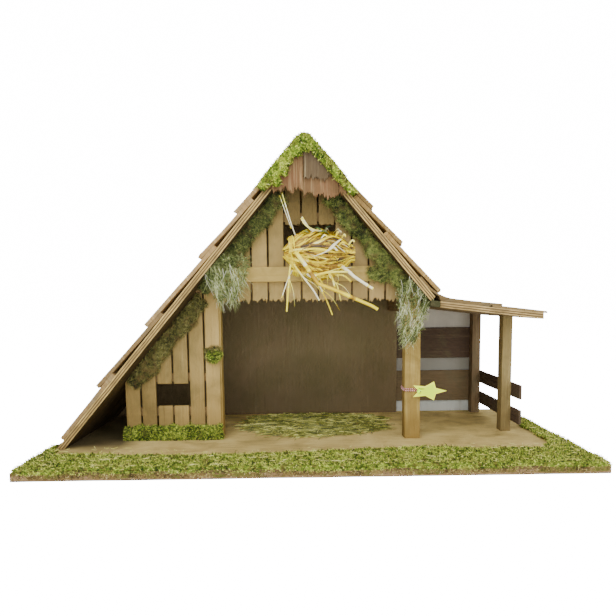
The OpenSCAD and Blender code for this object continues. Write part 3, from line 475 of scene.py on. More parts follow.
darkMossLook = {"root": (30, 36, 18), "mid": (72, 80, 38), "light": (110, 118, 58), "tip": (156, 160, 92),
                "brown": (104, 86, 50), "dry": 0.6, "flecks": 0.98, "fleck": (166, 156, 100)}
mosses = {
    "moss": {"root": (40, 54, 14), "mid": (106, 126, 36), "light": (174, 190, 70), "tip": (226, 230, 118),
             "brown": (132, 112, 54), "flecks": 0.96, "fleck": (236, 226, 150), "patch": 110, "spread": 1.1,
             "speckle": 1.2},
    "darkMoss": darkMossLook,
    "rightMoss": {**darkMossLook, "mid": (88, 98, 46), "light": (132, 142, 68), "tip": (172, 178, 100)},
    "wallMossBrown": {**darkMossLook, "mid": (96, 94, 48), "light": (136, 132, 72), "tip": (176, 170, 108),
                      "brown": (132, 108, 66)},
    "footMossGreen": {**darkMossLook, "root": (36, 50, 14), "mid": (84, 104, 32), "light": (140, 160, 52),
                      "tip": (200, 210, 92), "dry": 0.25, "spread": 1.0, "speckle": 1.0},
    "ridgeMossGreen": {"root": (30, 46, 10), "mid": (100, 124, 30), "light": (170, 188, 54),
                       "tip": (232, 238, 112), "brown": (138, 122, 54), "dry": 0.3, "flecks": 0.96,
                       "spread": 1.3, "speckle": 1.3, "fleck": (240, 238, 160)},
    "earthMoss": {"root": (66, 56, 30), "mid": (126, 104, 60), "light": (166, 144, 84),
                  "tip": (212, 200, 128), "brown": (108, 112, 44), "dry": 0.85, "flecks": 0.95,
                  "fleck": (226, 206, 156)},
    "lichenGrey": {"root": (48, 60, 26), "mid": (112, 124, 66), "light": (182, 190, 128),
                   "tip": (232, 236, 184), "brown": (98, 104, 60), "patch": 80, "dry": 0.3, "flecks": 0.94,
                   "fleck": (244, 242, 222)},
}
straws = {
    "hay": {"streak": (96, 84, 46), "stops": [
        (0.0, (44, 50, 18)), (0.35, (88, 94, 36)), (0.7, (152, 152, 66)), (1.0, (236, 232, 138))]},
    "litter": {"streak": (150, 128, 60), "stops": [
        (0.0, (120, 112, 40)), (0.5, (206, 200, 92)), (1.0, (240, 234, 150))]},
    "straw": {"streak": (176, 124, 58), "stops": [
        (0.0, (62, 44, 6)), (0.2, (158, 120, 14)), (0.42, (222, 190, 20)), (0.68, (252, 234, 48)),
        (0.88, (255, 246, 118)), (1.0, (255, 250, 214))]},
    "greenLeaf": {"streak": (40, 60, 40), "stops": [
        (0.0, (24, 40, 22)), (0.4, (50, 78, 44)), (0.7, (86, 110, 62)), (1.0, (150, 160, 104))]},
}
for name, look in mosses.items():
    mossFinish(name, look)
for name, look in straws.items():
    strawFinish(name, look)


def starFinish(name):
    # matt yellow-green paint, lighter towards the rim, with a painted glow from a little emission
    tree, shader = startMaterial(name, 0.55, 0.08)
    starMottle = noiseOn(tree, objectPoint(tree), 420, 4, 0.6)
    rim = mulAdd(tree, starMottle, 0.4, reckon(tree, "SUBTRACT", ownValue(tree, "tip"), 0.2))
    colour = rampOn(tree, rim, (0.2, (196, 236, 0)), (0.6, (226, 248, 6)), (1.0, (252, 252, 110)))
    # painted glow: the star emits a little light of its own though it is no lamp
    shader["Emission Color"].default_value = (0.84, 1.0, 0.0, 1)
    shader["Emission Strength"].default_value = 0.6
    dress(tree, shader, colour, starMottle, 0.2, 0.5, rampOn(tree, starMottle, (0.3, 0.48), (0.7, 0.66)))


def cordFinish(name):
    tree, shader = startMaterial(name, 0.7, 0.3)
    wool = noiseOn(tree, objectPoint(tree), 1600, 4, 0.7)
    level = mulAdd(tree, wool, 0.5, reckon(tree, "SUBTRACT", ownValue(tree, "tint"), 0.25))
    shader["Sheen Weight"].default_value = 0.3
    colour = rampOn(tree, level, (0.1, (126, 10, 14)), (0.45, (196, 34, 34)), (0.7, (236, 120, 108)),
                    (0.9, (254, 232, 224)))
    dress(tree, shader, colour, wool, 0.2, 0.6)


starFinish("starPaint")
cordFinish("redWool")
print("finishes mixed:", len(finishes))

# Small tools for shaping

def workOn(piece):
    bpy.ops.object.select_all(action="DESELECT")
    bpy.context.view_layer.objects.active = piece
    piece.select_set(True)


@contextmanager
def editing(piece):
    # edit mode, with everything selected
    workOn(piece)
    bpy.ops.object.mode_set(mode="EDIT")
    bpy.ops.mesh.select_all(action="SELECT")
    yield
    bpy.ops.object.mode_set(mode="OBJECT")


def newPiece(name, mesh):
    piece = bpy.data.objects.new(name, mesh)
    bpy.context.scene.collection.objects.link(piece)
    return piece


def solid(add, **settings):
    # a ready-made shape, with its place, turn and size applied
    add(**settings)
    bpy.ops.object.transform_apply(location=True, rotation=True, scale=True)
    return bpy.context.object


def joinTo(piece, parts):
    workOn(piece)
    for part in parts:
        part.select_set(True)
    bpy.ops.object.join()


def copyNode(node, name):
    # a merged copy of a CAD node's loose triangles
    piece = newPiece(name, nodes[node].data.copy())
    piece.data.materials.clear()
    workOn(piece)
    bpy.ops.mesh.customdata_custom_splitnormals_clear()
    with editing(piece):
        bpy.ops.mesh.select_mode(type="VERT")
        bpy.ops.mesh.remove_doubles(threshold=2e-6)
        bpy.ops.mesh.dissolve_limited(angle_limit=math.radians(0.4))
    return piece


def cutAcross(piece, direction, spacing):
    # slices the mesh square to a direction, so that its faces can be worn
    reach = [vertex.co.dot(direction) for vertex in piece.data.vertices]
    low, high = min(reach), max(reach)
    count = round((high - low) / spacing)
    with editing(piece):
        for step in range(1, count):
            bpy.ops.mesh.select_all(action="SELECT")
            bpy.ops.mesh.bisect(plane_co=direction * (low + (high - low) * step / count), plane_no=direction)


def keepBetween(piece, direction, low, high):
    # cuts a stretch out of the piece, from low to high in millimetres, and closes its ends
    with editing(piece):
        for place, way in ((low, direction), (high, -direction)):
            if place is not None:
                bpy.ops.mesh.select_all(action="SELECT")
                bpy.ops.mesh.bisect(plane_co=direction * place * mm, plane_no=way, use_fill=True,
                                    clear_inner=True)


def applyModifier(piece, kind, **settings):
    workOn(piece)
    modifier = piece.modifiers.new(kind.lower(), kind)
    for key, value in settings.items():
        setattr(modifier, key, value)
    bpy.ops.object.modifier_apply(modifier=modifier.name)


def roundEdges(piece, width, angle):
    applyModifier(piece, "BEVEL", width=width * mm, segments=2, limit_method="ANGLE",
                  angle_limit=math.radians(angle))


def islands(mesh):
    # the numbers of the vertices of each loose part
    group = list(range(len(mesh.vertices)))

    def top(number):
        while group[number] != number:
            group[number] = group[group[number]]
            number = group[number]
        return number
    for edge in mesh.edges:
        first, second = top(edge.vertices[0]), top(edge.vertices[1])
        if first != second:
            group[second] = first
    found = {}
    for number in range(len(group)):
        found.setdefault(top(number), []).append(number)
    return list(found.values())


def cornersOf(piece, chosen):
    # the numbers of the vertices of the chosen faces
    return {i for face in piece.data.polygons if chosen(face) for i in face.vertices}


def ragEnds(piece, direction, reach, depth, fine, shorten, seed):
    # the ends that point down the direction get torn, board by board
    vertices = piece.data.vertices
    for number, board in enumerate(islands(piece.data)):
        low = max(vertices[i].co.dot(direction) for i in board)
        for i in board:
            point = vertices[i].co
            share = 1 - (low - point.dot(direction)) / (reach * mm)
            if share > 0:
                across = point - direction * point.dot(direction)
                pull = noise.noise(across * fine + Vector((seed, number * 3.7, 0)))
                pull += 0.6 * noise.noise(across * fine * 3.1 + Vector((number, seed, 5)))
                vertices[i].co = point + direction * (min(share * 2, 1) * depth * mm * (pull - shorten))


wearing = {"across": 330, "along": 26, "ridges": 0.6, "slow": 22, "warp": 0.8}


def wear(piece, grain, depth, seed):
    # ridges that run with the grain, and a slow warp
    shift = Vector((seed * 3.1, seed * 1.7, seed))
    for vertex in piece.data.vertices:
        along = vertex.co.dot(grain)
        place = (vertex.co - grain * along) * wearing["across"] + grain * (along * wearing["along"])
        ridges = noise.noise_vector(place + shift)
        warp = noise.noise_vector(vertex.co * wearing["slow"] + shift)
        vertex.co += (ridges * wearing["ridges"] + warp * wearing["warp"]) * depth * mm


def addValue(piece, name, numbers):
    piece.data.attributes.new(name, "FLOAT", "POINT").data.foreach_set("value", numbers)


def tintBoards(piece, seed):
    dice = random.Random(seed)
    numbers = [0.0] * len(piece.data.vertices)
    for board in islands(piece.data):
        tint = dice.uniform(-0.5, 0.5)
        for i in board:
            numbers[i] = tint
    addValue(piece, "tint", numbers)


def finishPiece(piece, finish, replaced=(), smooth=60):
    piece.data.materials.clear()
    piece.data.materials.append(finishes[finish])
    workOn(piece)
    bpy.ops.object.shade_smooth_by_angle(angle=math.radians(smooth))
    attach(piece, "root")
    if replaced:
        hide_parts(*replaced)
    print("made:", piece.name, len(piece.data.polygons), "faces")


def camel(node):
    first, *rest = node.split("_")
    return first + "".join(word.capitalize() for word in rest)


def settleSheets(piece, values):
    # the sheets' undersides come down onto the lean-to's panel
    for i in cornersOf(piece, lambda face: face.normal.z < -0.4):
        point = piece.data.vertices[i].co
        if values["from"] * mm < point.x < values["to"] * mm:
            drop = (point.x / mm - values["from"]) * math.tan(flat)
            point.z = (values["level"] - drop + values["clear"]) * mm


def makeBoards(values):
    # each node of the family is copied, sliced, torn at its ends, worn and eased along its edges
    for number, node in enumerate(values["nodes"]):
        seed = values["seed"] + number
        piece = copyNode(node, camel(node))
        for direction, spacing in values["cuts"]:
            cutAcross(piece, direction, spacing * mm)
        if "settle" in values:
            settleSheets(piece, values["settle"])
        if "tuck" in values:  # its top edge meets the roof
            for i in cornersOf(piece, lambda face: face.normal.z > 0.4):
                piece.data.vertices[i].co.z += values["tuck"] * mm
        if "torn" in values:
            ragEnds(piece, *values["torn"], seed)
        wear(piece, values["grain"], values["wear"], seed)
        roundEdges(piece, values["edge"], 42)
        tintBoards(piece, seed)
        finishPiece(piece, values["finish"], [node], 32)


placeCamera(camera)
lightStudio(studio)
print("camera and light placed")

# Boards. "cuts" are directions and spacings; "torn" is direction, reach, depth, fineness and what is lost.

panel = {"slot": "plywood", "wear": 0.2, "edge": 0.35}
post = {"finish": "postWood", "slot": "post_wood", "grain": up, "cuts": [(up, 7), (side, 5), (back, 5)],
        "wear": 0.32, "edge": 0.8}
slat = {"finish": "slatWood", "slot": "slat_wood", "grain": up, "wear": 0.3}
gableSlat = {**slat, "cuts": [(up, 5), (side, 2)], "edge": 0.4, "torn": (-up, 12, 2.2, 260, 0.5)}
course = {"slot": "shingle", "wear": 0.55, "edge": 0.5}
thinCourse = {**course, "finish": "leanShingle", "grain": leanDown, "cuts": [(leanDown, 4), (back, 5)],
              "wear": 0.35, "edge": 0.3, "torn": (leanDown, 7, 2.6, 150, 0.5)}
backBoard = {"slot": "dark_board", "grain": side, "cuts": [(side, 8), (up, 5)], "wear": 0.35, "edge": 0.5}
hood = {"slot": "hood_bark", "grain": up, "cuts": [(up, 3), (side, 1.1)], "wear": 0.7, "edge": 0.2,
        "torn": (-up, 16, 5.0, 620, -0.05)}
boards = [
    {"nodes": ["base_board"], "finish": "baseWood", "slot": "base_wood", "grain": side,
     "cuts": [(side, 12), (back, 12)], "wear": 0.3, "edge": 0.9, "seed": 11},
    {"nodes": ["back_wall"], "finish": "wallWood", "slot": "dark_board", "grain": up,
     "cuts": [(up, 12), (side, 9)], "wear": 0.25, "edge": 0.4, "seed": 21},
    {**panel, "nodes": ["left_roof_panel"], "finish": "leftPly", "grain": leftDown,
     "cuts": [(leftDown, 12), (back, 30)], "seed": 31},
    {**panel, "nodes": ["right_roof_panel"], "finish": "rightPly", "grain": rightDown,
     "cuts": [(rightDown, 12), (back, 30)], "seed": 32},
    {**panel, "nodes": ["lean_to_roof_panel"], "finish": "leanPly", "grain": leanDown,
     "cuts": [(leanDown, 12), (back, 30)], "seed": 33},
    {"nodes": ["valley_strip"], "finish": "valleyWood", "slot": "dark_board", "grain": back,
     "cuts": [(back, 8)], "wear": 0.4, "edge": 0.5, "seed": 34},
    {"nodes": ["ridge_beam", "eaves_plate"], "finish": "innerTimber", "slot": "inner_timber", "grain": back,
     "cuts": [(back, 16)], "wear": 0.25, "edge": 0.5, "seed": 41},
    {"nodes": ["gable_tie", "loft_batten", "wall_battens"], "finish": "innerTimber", "slot": "inner_timber",
     "grain": side, "cuts": [(side, 10)], "wear": 0.2, "edge": 0.4, "seed": 51},
    {"nodes": ["gable_beam"], "finish": "beamWood", "slot": "slat_wood", "grain": side,
     "cuts": [(side, 5), (up, 4)], "wear": 0.35, "edge": 0.6, "seed": 61},
    {**post, "nodes": ["left_post", "right_post"], "seed": 71},
    {**post, "nodes": ["lean_to_front_post"], "finish": "leanPostWood", "seed": 76},
    {**post, "nodes": ["lean_to_rear_post"], "finish": "shadedRearPostWood", "seed": 78},
    {**slat, "nodes": ["wall_slat_%d" % number for number in range(1, 7)] + ["window_head_slats"],
     "cuts": [(up, 6), (side, 3)], "edge": 0.45, "seed": 81},
    {**gableSlat, "nodes": ["gable_slats_left"], "seed": 91},
    {**gableSlat, "nodes": ["loft_slats"], "finish": "loftSlat", "seed": 92},
    {**gableSlat, "nodes": ["gable_slats_right"], "finish": "shadedSlat", "seed": 95},
    {**course, "nodes": ["left_shingles_%d" % number for number in range(1, 6)], "finish": "leftShingle",
     "grain": leftDown, "cuts": [(leftDown, 4), (back, 5)], "torn": (leftDown, 9, 3.4, 120, 0.5),
     "seed": 101},
    {**course, "nodes": ["right_shingles_%d" % number for number in range(1, 4)], "finish": "rightShingle",
     "grain": rightDown, "cuts": [(rightDown, 4), (back, 5)], "torn": (rightDown, 9, 3.0, 120, 0.5),
     "seed": 111},
    {**thinCourse, "nodes": ["lean_to_shingles"], "seed": 122},
    {**thinCourse, "nodes": ["valley_shingles"], "seed": 121,
     "settle": {"from": 148.3, "to": 207, "level": 173.8, "clear": 0.1}},
    {"nodes": ["upper_side_rail", "lower_side_rail"], "finish": "darkRail", "slot": "dark_board",
     "grain": back, "cuts": [(back, 8), (up, 4)], "wear": 0.25, "edge": 0.45, "seed": 131},
    {**backBoard, "nodes": ["upper_back_board"], "finish": "darkBoard", "seed": 141},
    {**backBoard, "nodes": ["lower_back_board"], "finish": "lowBoard", "seed": 142},
    {"nodes": ["lean_to_back_sheet"], "finish": "paleSheet", "slot": "pale_sheet", "grain": up,
     "cuts": [(up, 12), (side, 12)], "wear": 0.15, "edge": 0.3, "tuck": 0.7, "seed": 146},
    {**hood, "nodes": ["hood_board_left", "hood_board_outer"], "finish": "hoodBark", "seed": 151},
    {**hood, "nodes": ["hood_board_right"], "finish": "hoodBrown", "seed": 152},
    {**hood, "nodes": ["hood_board_over"], "finish": "hoodGrey", "seed": 154},
]
for family in boards:
    makeBoards(family)
for node in ("post_screws", "brads"):
    nodes[node].data.materials.clear()
    nodes[node].data.materials.append(finishes["steel"])


# Moss: a few sprigs are modelled, then scattered over a bumpy body

sprigs = [(3.0, 0.3, 1.5, 0.36, 5, 50), (2.0, 0.32, 1.7, 0.42, 6, -30), (4.6, 0.28, 1.2, 0.3, 4, 130),
          (2.6, 0.34, 1.8, 0.46, 4, -75)]
wisps = [(3.4, 0.22, 4.2, 0.2, 5, 70), (2.4, 0.24, 5.4, 0.2, 4, -110), (5.0, 0.2, 3.2, 0.18, 5, 150)]


def makeSprig(name, values, seed):
    dice = random.Random(seed)
    height, stemRadius, leafLength, leafWidth, leaves, bend = values
    height *= mm
    cone = bpy.ops.mesh.primitive_cone_add
    stem = solid(cone, vertices=3, radius1=stemRadius * mm, radius2=stemRadius * 0.3 * mm, depth=height,
                 location=(0, 0, height / 2))
    stem.name = name
    cutAcross(stem, up, height / 3)
    parts = []
    for number in range(leaves):
        share = 0.25 + 0.72 * number / (leaves - 1)
        turn = Euler((math.radians(dice.uniform(35, 70)), 0, number * 2.4 + dice.uniform(-0.4, 0.4)))
        length = leafLength * mm * (1.15 - 0.5 * share)
        middle = Vector((0, 0, height * share)) + turn.to_matrix() @ up * length * 0.45
        parts.append(solid(cone, vertices=3, radius1=leafWidth * mm, radius2=0, depth=length, location=middle,
                           rotation=turn, scale=(1, 0.4, 1)))
    joinTo(stem, parts)
    addValue(stem, "tip", [min(1, max(0, vertex.co.z / height)) for vertex in stem.data.vertices])
    applyModifier(stem, "SIMPLE_DEFORM", deform_method="BEND", deform_axis="X", angle=math.radians(bend))
    return stem


def fillShelf(name, kinds, seed):
    shelf = bpy.data.collections.new(name)
    bpy.context.scene.collection.children.link(shelf)
    for number, values in enumerate(kinds):
        sprig = makeSprig("%s%d" % (name, number), values, seed + number)
        for home in list(sprig.users_collection):
            home.objects.unlink(sprig)
        shelf.objects.link(sprig)
    return shelf


sprigShelf = fillShelf("mossSprig", sprigs, 300)
wispShelf = fillShelf("mossWisp", wisps, 320)


def scatterSprigs(body, look):
    # sprigs all over the body, except where it lies against the wood
    group = bpy.data.node_groups.new(body.name + "Scatter", "GeometryNodeTree")
    for name, way in (("Body", "INPUT"), ("Moss", "OUTPUT")):
        group.interface.new_socket(name, in_out=way, socket_type="NodeSocketGeometry")
    start = put(group, "NodeGroupInput").outputs[0]
    normal = put(group, "GeometryNodeInputNormal").outputs[0]
    against = put(group, "ShaderNodeVectorMath", {0: normal, 1: look["hidden"]}, operation="DOT_PRODUCT")
    shown = put(group, "FunctionNodeCompare", {0: against.outputs["Value"], 1: look["turnedAway"]},
                data_type="FLOAT", operation="LESS_THAN").outputs[0]
    points = put(group, "GeometryNodeDistributePointsOnFaces", {
        "Mesh": start, "Selection": shown, "Density": look["density"], "Seed": look["seed"],
    }, distribute_method="RANDOM").outputs
    lean = math.radians(look["lean"])
    spin = put(group, "FunctionNodeRandomValue", {0: (-lean, -lean, 0), 1: (lean, lean, 6.28), "Seed": 5},
               data_type="FLOAT_VECTOR").outputs[0]
    turned = put(group, "FunctionNodeRotateRotation", {"Rotation": points["Rotation"], "Rotate By": spin},
                 rotation_space="LOCAL").outputs[0]
    size = put(group, "FunctionNodeRandomValue", {2: look["smallest"], 3: look["largest"], "Seed": 6},
               data_type="FLOAT").outputs[1]
    kinds = put(group, "GeometryNodeCollectionInfo", {
        "Collection": look["shelf"], "Separate Children": True, "Reset Children": True}).outputs[0]
    copies = put(group, "GeometryNodeInstanceOnPoints", {
        "Points": points["Points"], "Instance": kinds, "Pick Instance": True, "Rotation": turned,
        "Scale": size})
    tint = put(group, "FunctionNodeRandomValue", {2: -0.5, 3: 0.5, "Seed": 7}, data_type="FLOAT").outputs[1]
    tinted = put(group, "GeometryNodeStoreNamedAttribute", {
        "Geometry": copies.outputs[0], "Name": "tint", "Value": tint}, data_type="FLOAT", domain="INSTANCE")
    real = put(group, "GeometryNodeRealizeInstances", {"Geometry": tinted.outputs[0]})
    both = put(group, "GeometryNodeJoinGeometry")
    group.links.new(start, both.inputs[0])
    group.links.new(real.outputs[0], both.inputs[0])
    put(group, "NodeGroupOutput", {0: both.outputs[0]})
    applyModifier(body, "NODES", node_group=group)


def bumpyBody(node, name, look):
    # the CAD shape, trimmed, remeshed, pulled in a little and puffed into cushions
    parts = []
    for trims in look.get("parts", [[]]):
        parts.append(copyNode(node, name))
        for trim in trims:
            keepBetween(parts[-1], *trim)
    for spot, half in look.get("lobes", []):  # bits that hang over the edge
        parts.append(solid(bpy.ops.mesh.primitive_ico_sphere_add, subdivisions=3, radius=1,
                           location=Vector(spot) * mm, scale=Vector(half) * mm))
    piece = parts[0]
    if parts[1:]:
        joinTo(piece, parts[1:])
        piece.name = name
    applyModifier(piece, "REMESH", mode="VOXEL", voxel_size=look["voxel"] * mm)
    for number, (size, height) in enumerate(look["puffs"]):
        cloud = bpy.data.textures.new("%sPuff%d" % (name, number), "CLOUDS")
        cloud.noise_scale = size * mm
        cloud.noise_depth = 2
        applyModifier(piece, "DISPLACE", texture=cloud, texture_coords="LOCAL", strength=height * mm,
                      mid_level=look["middle"])
    return piece


def makeMoss(node, name, look):
    piece = bumpyBody(node, name, look)
    scatterSprigs(piece, look)
    finishPiece(piece, look["finish"], [node])


mossBase = {"voxel": 2.0, "puffs": [(14, 3.4), (4, 2)], "middle": 0.66, "lean": 70, "smallest": 0.6,
            "largest": 1.25, "seed": 4, "shelf": sprigShelf, "slot": "moss", "turnedAway": 0.55}
baseMoss = {**mossBase, "finish": "moss", "density": 250000, "hidden": (0, 0, -1), "voxel": 2.4,
            "smallest": 0.55, "largest": 1.1}
footMoss = {**mossBase, "finish": "footMossGreen", "density": 700000, "hidden": (0, 1, 0)}
ridgeMoss = {**mossBase, "finish": "ridgeMossGreen", "slot": "ridge_moss", "density": 150000,
             "hidden": (0, 0, -1), "voxel": 2.4}
gableMoss = {**mossBase, "finish": "darkMoss", "density": 420000, "hidden": (0, 1, 0), "lean": 80,
             "shelf": wispShelf, "puffs": [(24, 7.5), (7, 3.5)], "middle": 0.62}
edgeMoss = {**mossBase, "finish": "earthMoss", "density": 720000, "hidden": (0, 1, 0), "lean": 80,
            "smallest": 0.4, "largest": 0.95, "seed": 21, "front": -159.3, "long": 598, "deep": 1.6,
            "level": 4.6, "tall": 4.4, "slices": 5, "wear": 0.8, "lowest": 0.2}

# A trim is a direction and the places, in millimetres, from and to which the moss is kept
mossTop = (up, None, 12.6)
mossRear = (back, None, -92)
leftSlant = Vector((0.092, 1, 0)).normalized()
leftHalf, rightHalf = (side, None, ridgeX), (side, ridgeX, None)
frontStretch, middleStretch = (back, None, -44), (back, -63, -42)
ridgeFront = {**ridgeMoss, "density": 360000, "voxel": 1.5, "puffs": [(8, 1.6), (3, 1.0)], "smallest": 0.5,
              "largest": 1.15}
ridgeFront["parts"] = [
    [leftHalf, frontStretch, (leftOut, 224.2, 236.4), (leftDown, None, -194), (up, None, 355.5)],
    [rightHalf, frontStretch, (rightOut, 219.2, 229.8), (rightDown, None, -190), (up, None, 355.5)],
]
ridgeFront["lobes"] = [  # middle and half size
    ((-12.8, -73.0, 335.2), (7.4, 3.2, 5.6)), ((-1.5, -73.4, 339.2), (4.6, 3.0, 4.4)),
    ((-21.2, -72.2, 326.5), (4.8, 3.8, 5.0)), ((-25.6, -72.0, 317.2), (4.8, 4.2, 7.6)),
    ((-34.0, -72.0, 304.6), (5.2, 4.2, 6.0)), ((9.5, -73.4, 333.5), (4.2, 3.0, 3.4)),
]
ridgeMiddle = {**ridgeMoss, "seed": 11, "puffs": [(8, 1.2)], "largest": 0.9, "parts": [
    [leftHalf, middleStretch, (leftOut, None, 239.5), (leftDown, None, -190), (up, None, 355)],
    [rightHalf, middleStretch, (rightOut, None, 233.8), (rightDown, None, -186), (up, None, 355)],
]}

makeMoss("base_moss", "baseMossLeft", {**baseMoss, "parts": [
    [(side, None, -284), mossTop], [(side, -286, -110), mossTop, (leftSlant, None, -117.6)]]})
makeMoss("base_moss", "baseMossMiddle", {**baseMoss, "seed": 5, "parts": [[(side, -110, 80), mossTop]]})
makeMoss("base_moss", "baseMossRight", {**baseMoss, "seed": 6, "parts": [
    [(side, 80, 165), mossTop], [(side, 165, 200), mossTop, mossRear]]})
makeMoss("base_moss", "baseMossCorner", {**baseMoss, "seed": 7, "parts": [
    [(side, 200, 264), mossTop, mossRear], [(side, 262, None), mossTop]]})
makeMoss("wall_foot_moss", "wallFootMoss", footMoss)
makeMoss("ridge_moss", "ridgeMossFront", ridgeFront)
makeMoss("ridge_moss", "ridgeMossMiddle", ridgeMiddle)
makeMoss("ridge_moss", "ridgeMossRear", {**ridgeMoss, "parts": [[(back, -44, 58)]], "seed": 8})
makeMoss("ridge_moss", "ridgeMossEnd", {**ridgeMoss, "parts": [[(back, 58, None)]], "seed": 10})
makeMoss("gable_moss_left", "gableMossLeft", gableMoss)
makeMoss("gable_moss_right", "gableMossRight", {**gableMoss, "finish": "rightMoss", "seed": 9})
makeMoss("wall_moss", "wallMoss", {**gableMoss, "finish": "wallMossBrown", "seed": 14, "parts": [
    [(side, None, -122)], [(side, -122, None), (up, 118, None)]]})
makeMoss("wall_moss", "wallTuft", {**footMoss, "seed": 15, "puffs": [(5, 2.5)], "parts": [
    [(side, -122, None), (up, None, 118)]]})


def makeEdgeMoss(name, values):
    # bits of moss and dry litter cling to the base's front edge
    middle = Vector((0, values["front"], values["level"])) * mm
    size = Vector((values["long"], values["deep"], values["tall"])) * mm
    piece = solid(bpy.ops.mesh.primitive_cube_add, size=1, location=middle, scale=size)
    piece.name = name
    cutAcross(piece, side, values["slices"] * mm)
    wear(piece, side, values["wear"], 3)
    scatterSprigs(piece, values)
    for vertex in piece.data.vertices:  # nothing goes below the floor
        vertex.co.z = max(vertex.co.z, values["lowest"] * mm)
    finishPiece(piece, values["finish"])


makeEdgeMoss("baseEdgeEarth", edgeMoss)
makeEdgeMoss("baseEdgeMoss", {**edgeMoss, "finish": "moss", "level": 8.2, "tall": 2.6, "seed": 22,
                              "density": 560000})
for shelf in (sprigShelf, wispShelf):
    for sprig in list(shelf.objects):
        bpy.data.objects.remove(sprig)
    bpy.data.collections.remove(shelf)


# Strands: lichen, hay, straw and cord are drawn as curves and made into closed tubes

ribbonShape = [(1, 0), (0.55, 0.2), (-0.55, 0.2), (-1, 0), (-0.55, -0.2), (0.55, -0.2)]


def drawStrands(name, strands, sides=4, flatShape=False):
    # a strand is its points, its radii, its tint (or one for each point) and its tilt
    line = bpy.data.curves.new(name, "CURVE")
    line.dimensions = "3D"
    line.use_fill_caps = True
    if flatShape:
        sides = len(ribbonShape)
        outline = bpy.data.curves.new("ribbonShape", "CURVE")
        shape = newPiece("ribbonShape", outline)
        rim = outline.splines.new("POLY")
        rim.points.add(sides - 1)
        for point, (x, y) in zip(rim.points, ribbonShape):
            point.co = (x * mm, y * mm, 0, 1)
        rim.use_cyclic_u = True
        line.bevel_mode = "OBJECT"
        line.bevel_object = shape
        line.twist_mode = "Z_UP"
    else:
        line.bevel_depth = mm
        line.bevel_resolution = (sides - 4) // 2
    tints, tips = [], []
    for points, radii, tint, tilt in strands:
        spline = line.splines.new("POLY")
        spline.points.add(len(points) - 1)
        row = tint if isinstance(tint, list) else [tint] * len(points)
        for i, point in enumerate(points):
            spline.points[i].co = (*point, 1)
            spline.points[i].radius = radii[i] / mm
            spline.points[i].tilt = tilt[i] if isinstance(tilt, list) else tilt
            tints += [row[i]] * sides
            tips += [i / (len(points) - 1)] * sides
        tints += [row[0]] * sides + [row[-1]] * sides  # the caps at both ends
        tips += [0] * sides + [1] * sides
    workOn(newPiece(name, line))
    bpy.ops.object.convert(target="MESH")
    piece = bpy.context.object
    if len(piece.data.vertices) != len(tints):
        raise ValueError("%s has %d points, not %d" % (name, len(piece.data.vertices), len(tints)))
    addValue(piece, "tint", tints)
    addValue(piece, "tip", tips)
    with editing(piece):
        bpy.ops.mesh.remove_doubles(threshold=1e-6)
        bpy.ops.mesh.normals_make_consistent(inside=False)
    if flatShape:
        bpy.data.objects.remove(shape)
    return piece


def smoothPath(points, steps):
    # a flowing line through the points
    ends = [points[0] * 2 - points[1], *points, points[-1] * 2 - points[-2]]
    path = []
    for i in range(1, len(ends) - 2):
        a, b, c, d = ends[i - 1:i + 3]
        for step in range(steps):
            t = step / steps
            path.append(0.5 * (2 * b + (c - a) * t + (2 * a - 5 * b + 4 * c - d) * t * t
                               + (3 * b - a - 3 * c + d) * t ** 3))
    return path + [points[-1]]


def flow(way, steps):
    # the same for places in millimetres
    return smoothPath([Vector(point) * mm for point in way], steps)


def leafStrand(way, steps, wide, tint, stub, tilt):
    # a blade: broad in the middle, narrow at its ends
    points = flow(way, steps)
    last = len(points) - 1
    return points, [wide * mm * (stub + math.sin(3.0 * i / last + 0.1)) for i in range(last + 1)], tint, tilt


def roll(dice, *spans):
    # one chance number in each span
    return [dice.uniform(*span) for span in spans]


def pointsOver(node, count, dice, allowed):
    # places spread evenly over the allowed faces of a node
    mesh = nodes[node].data
    faces = [p for p in mesh.polygons if allowed(p.normal)]
    spots = []
    for face in dice.choices(faces, [p.area for p in faces], k=count):
        a, b, c = [mesh.vertices[i].co for i in face.vertices[:3]]
        s, t = sorted((dice.random(), dice.random()))
        spots.append(a * s + b * (t - s) + c * (1 - t))
    return spots


lichen = {"strands": 230, "curls": 520, "points": 10, "reach": (20, 42), "curled": (6, 14),
          "thick": (0.17, 0.27), "wave": 2.6, "below": 0.6, "front": 2.6, "aside": -7, "lift": 4}
rightLichen = {**lichen, "strands": 290, "reach": (10, 28), "below": 1.0, "aside": -11, "lift": 6}


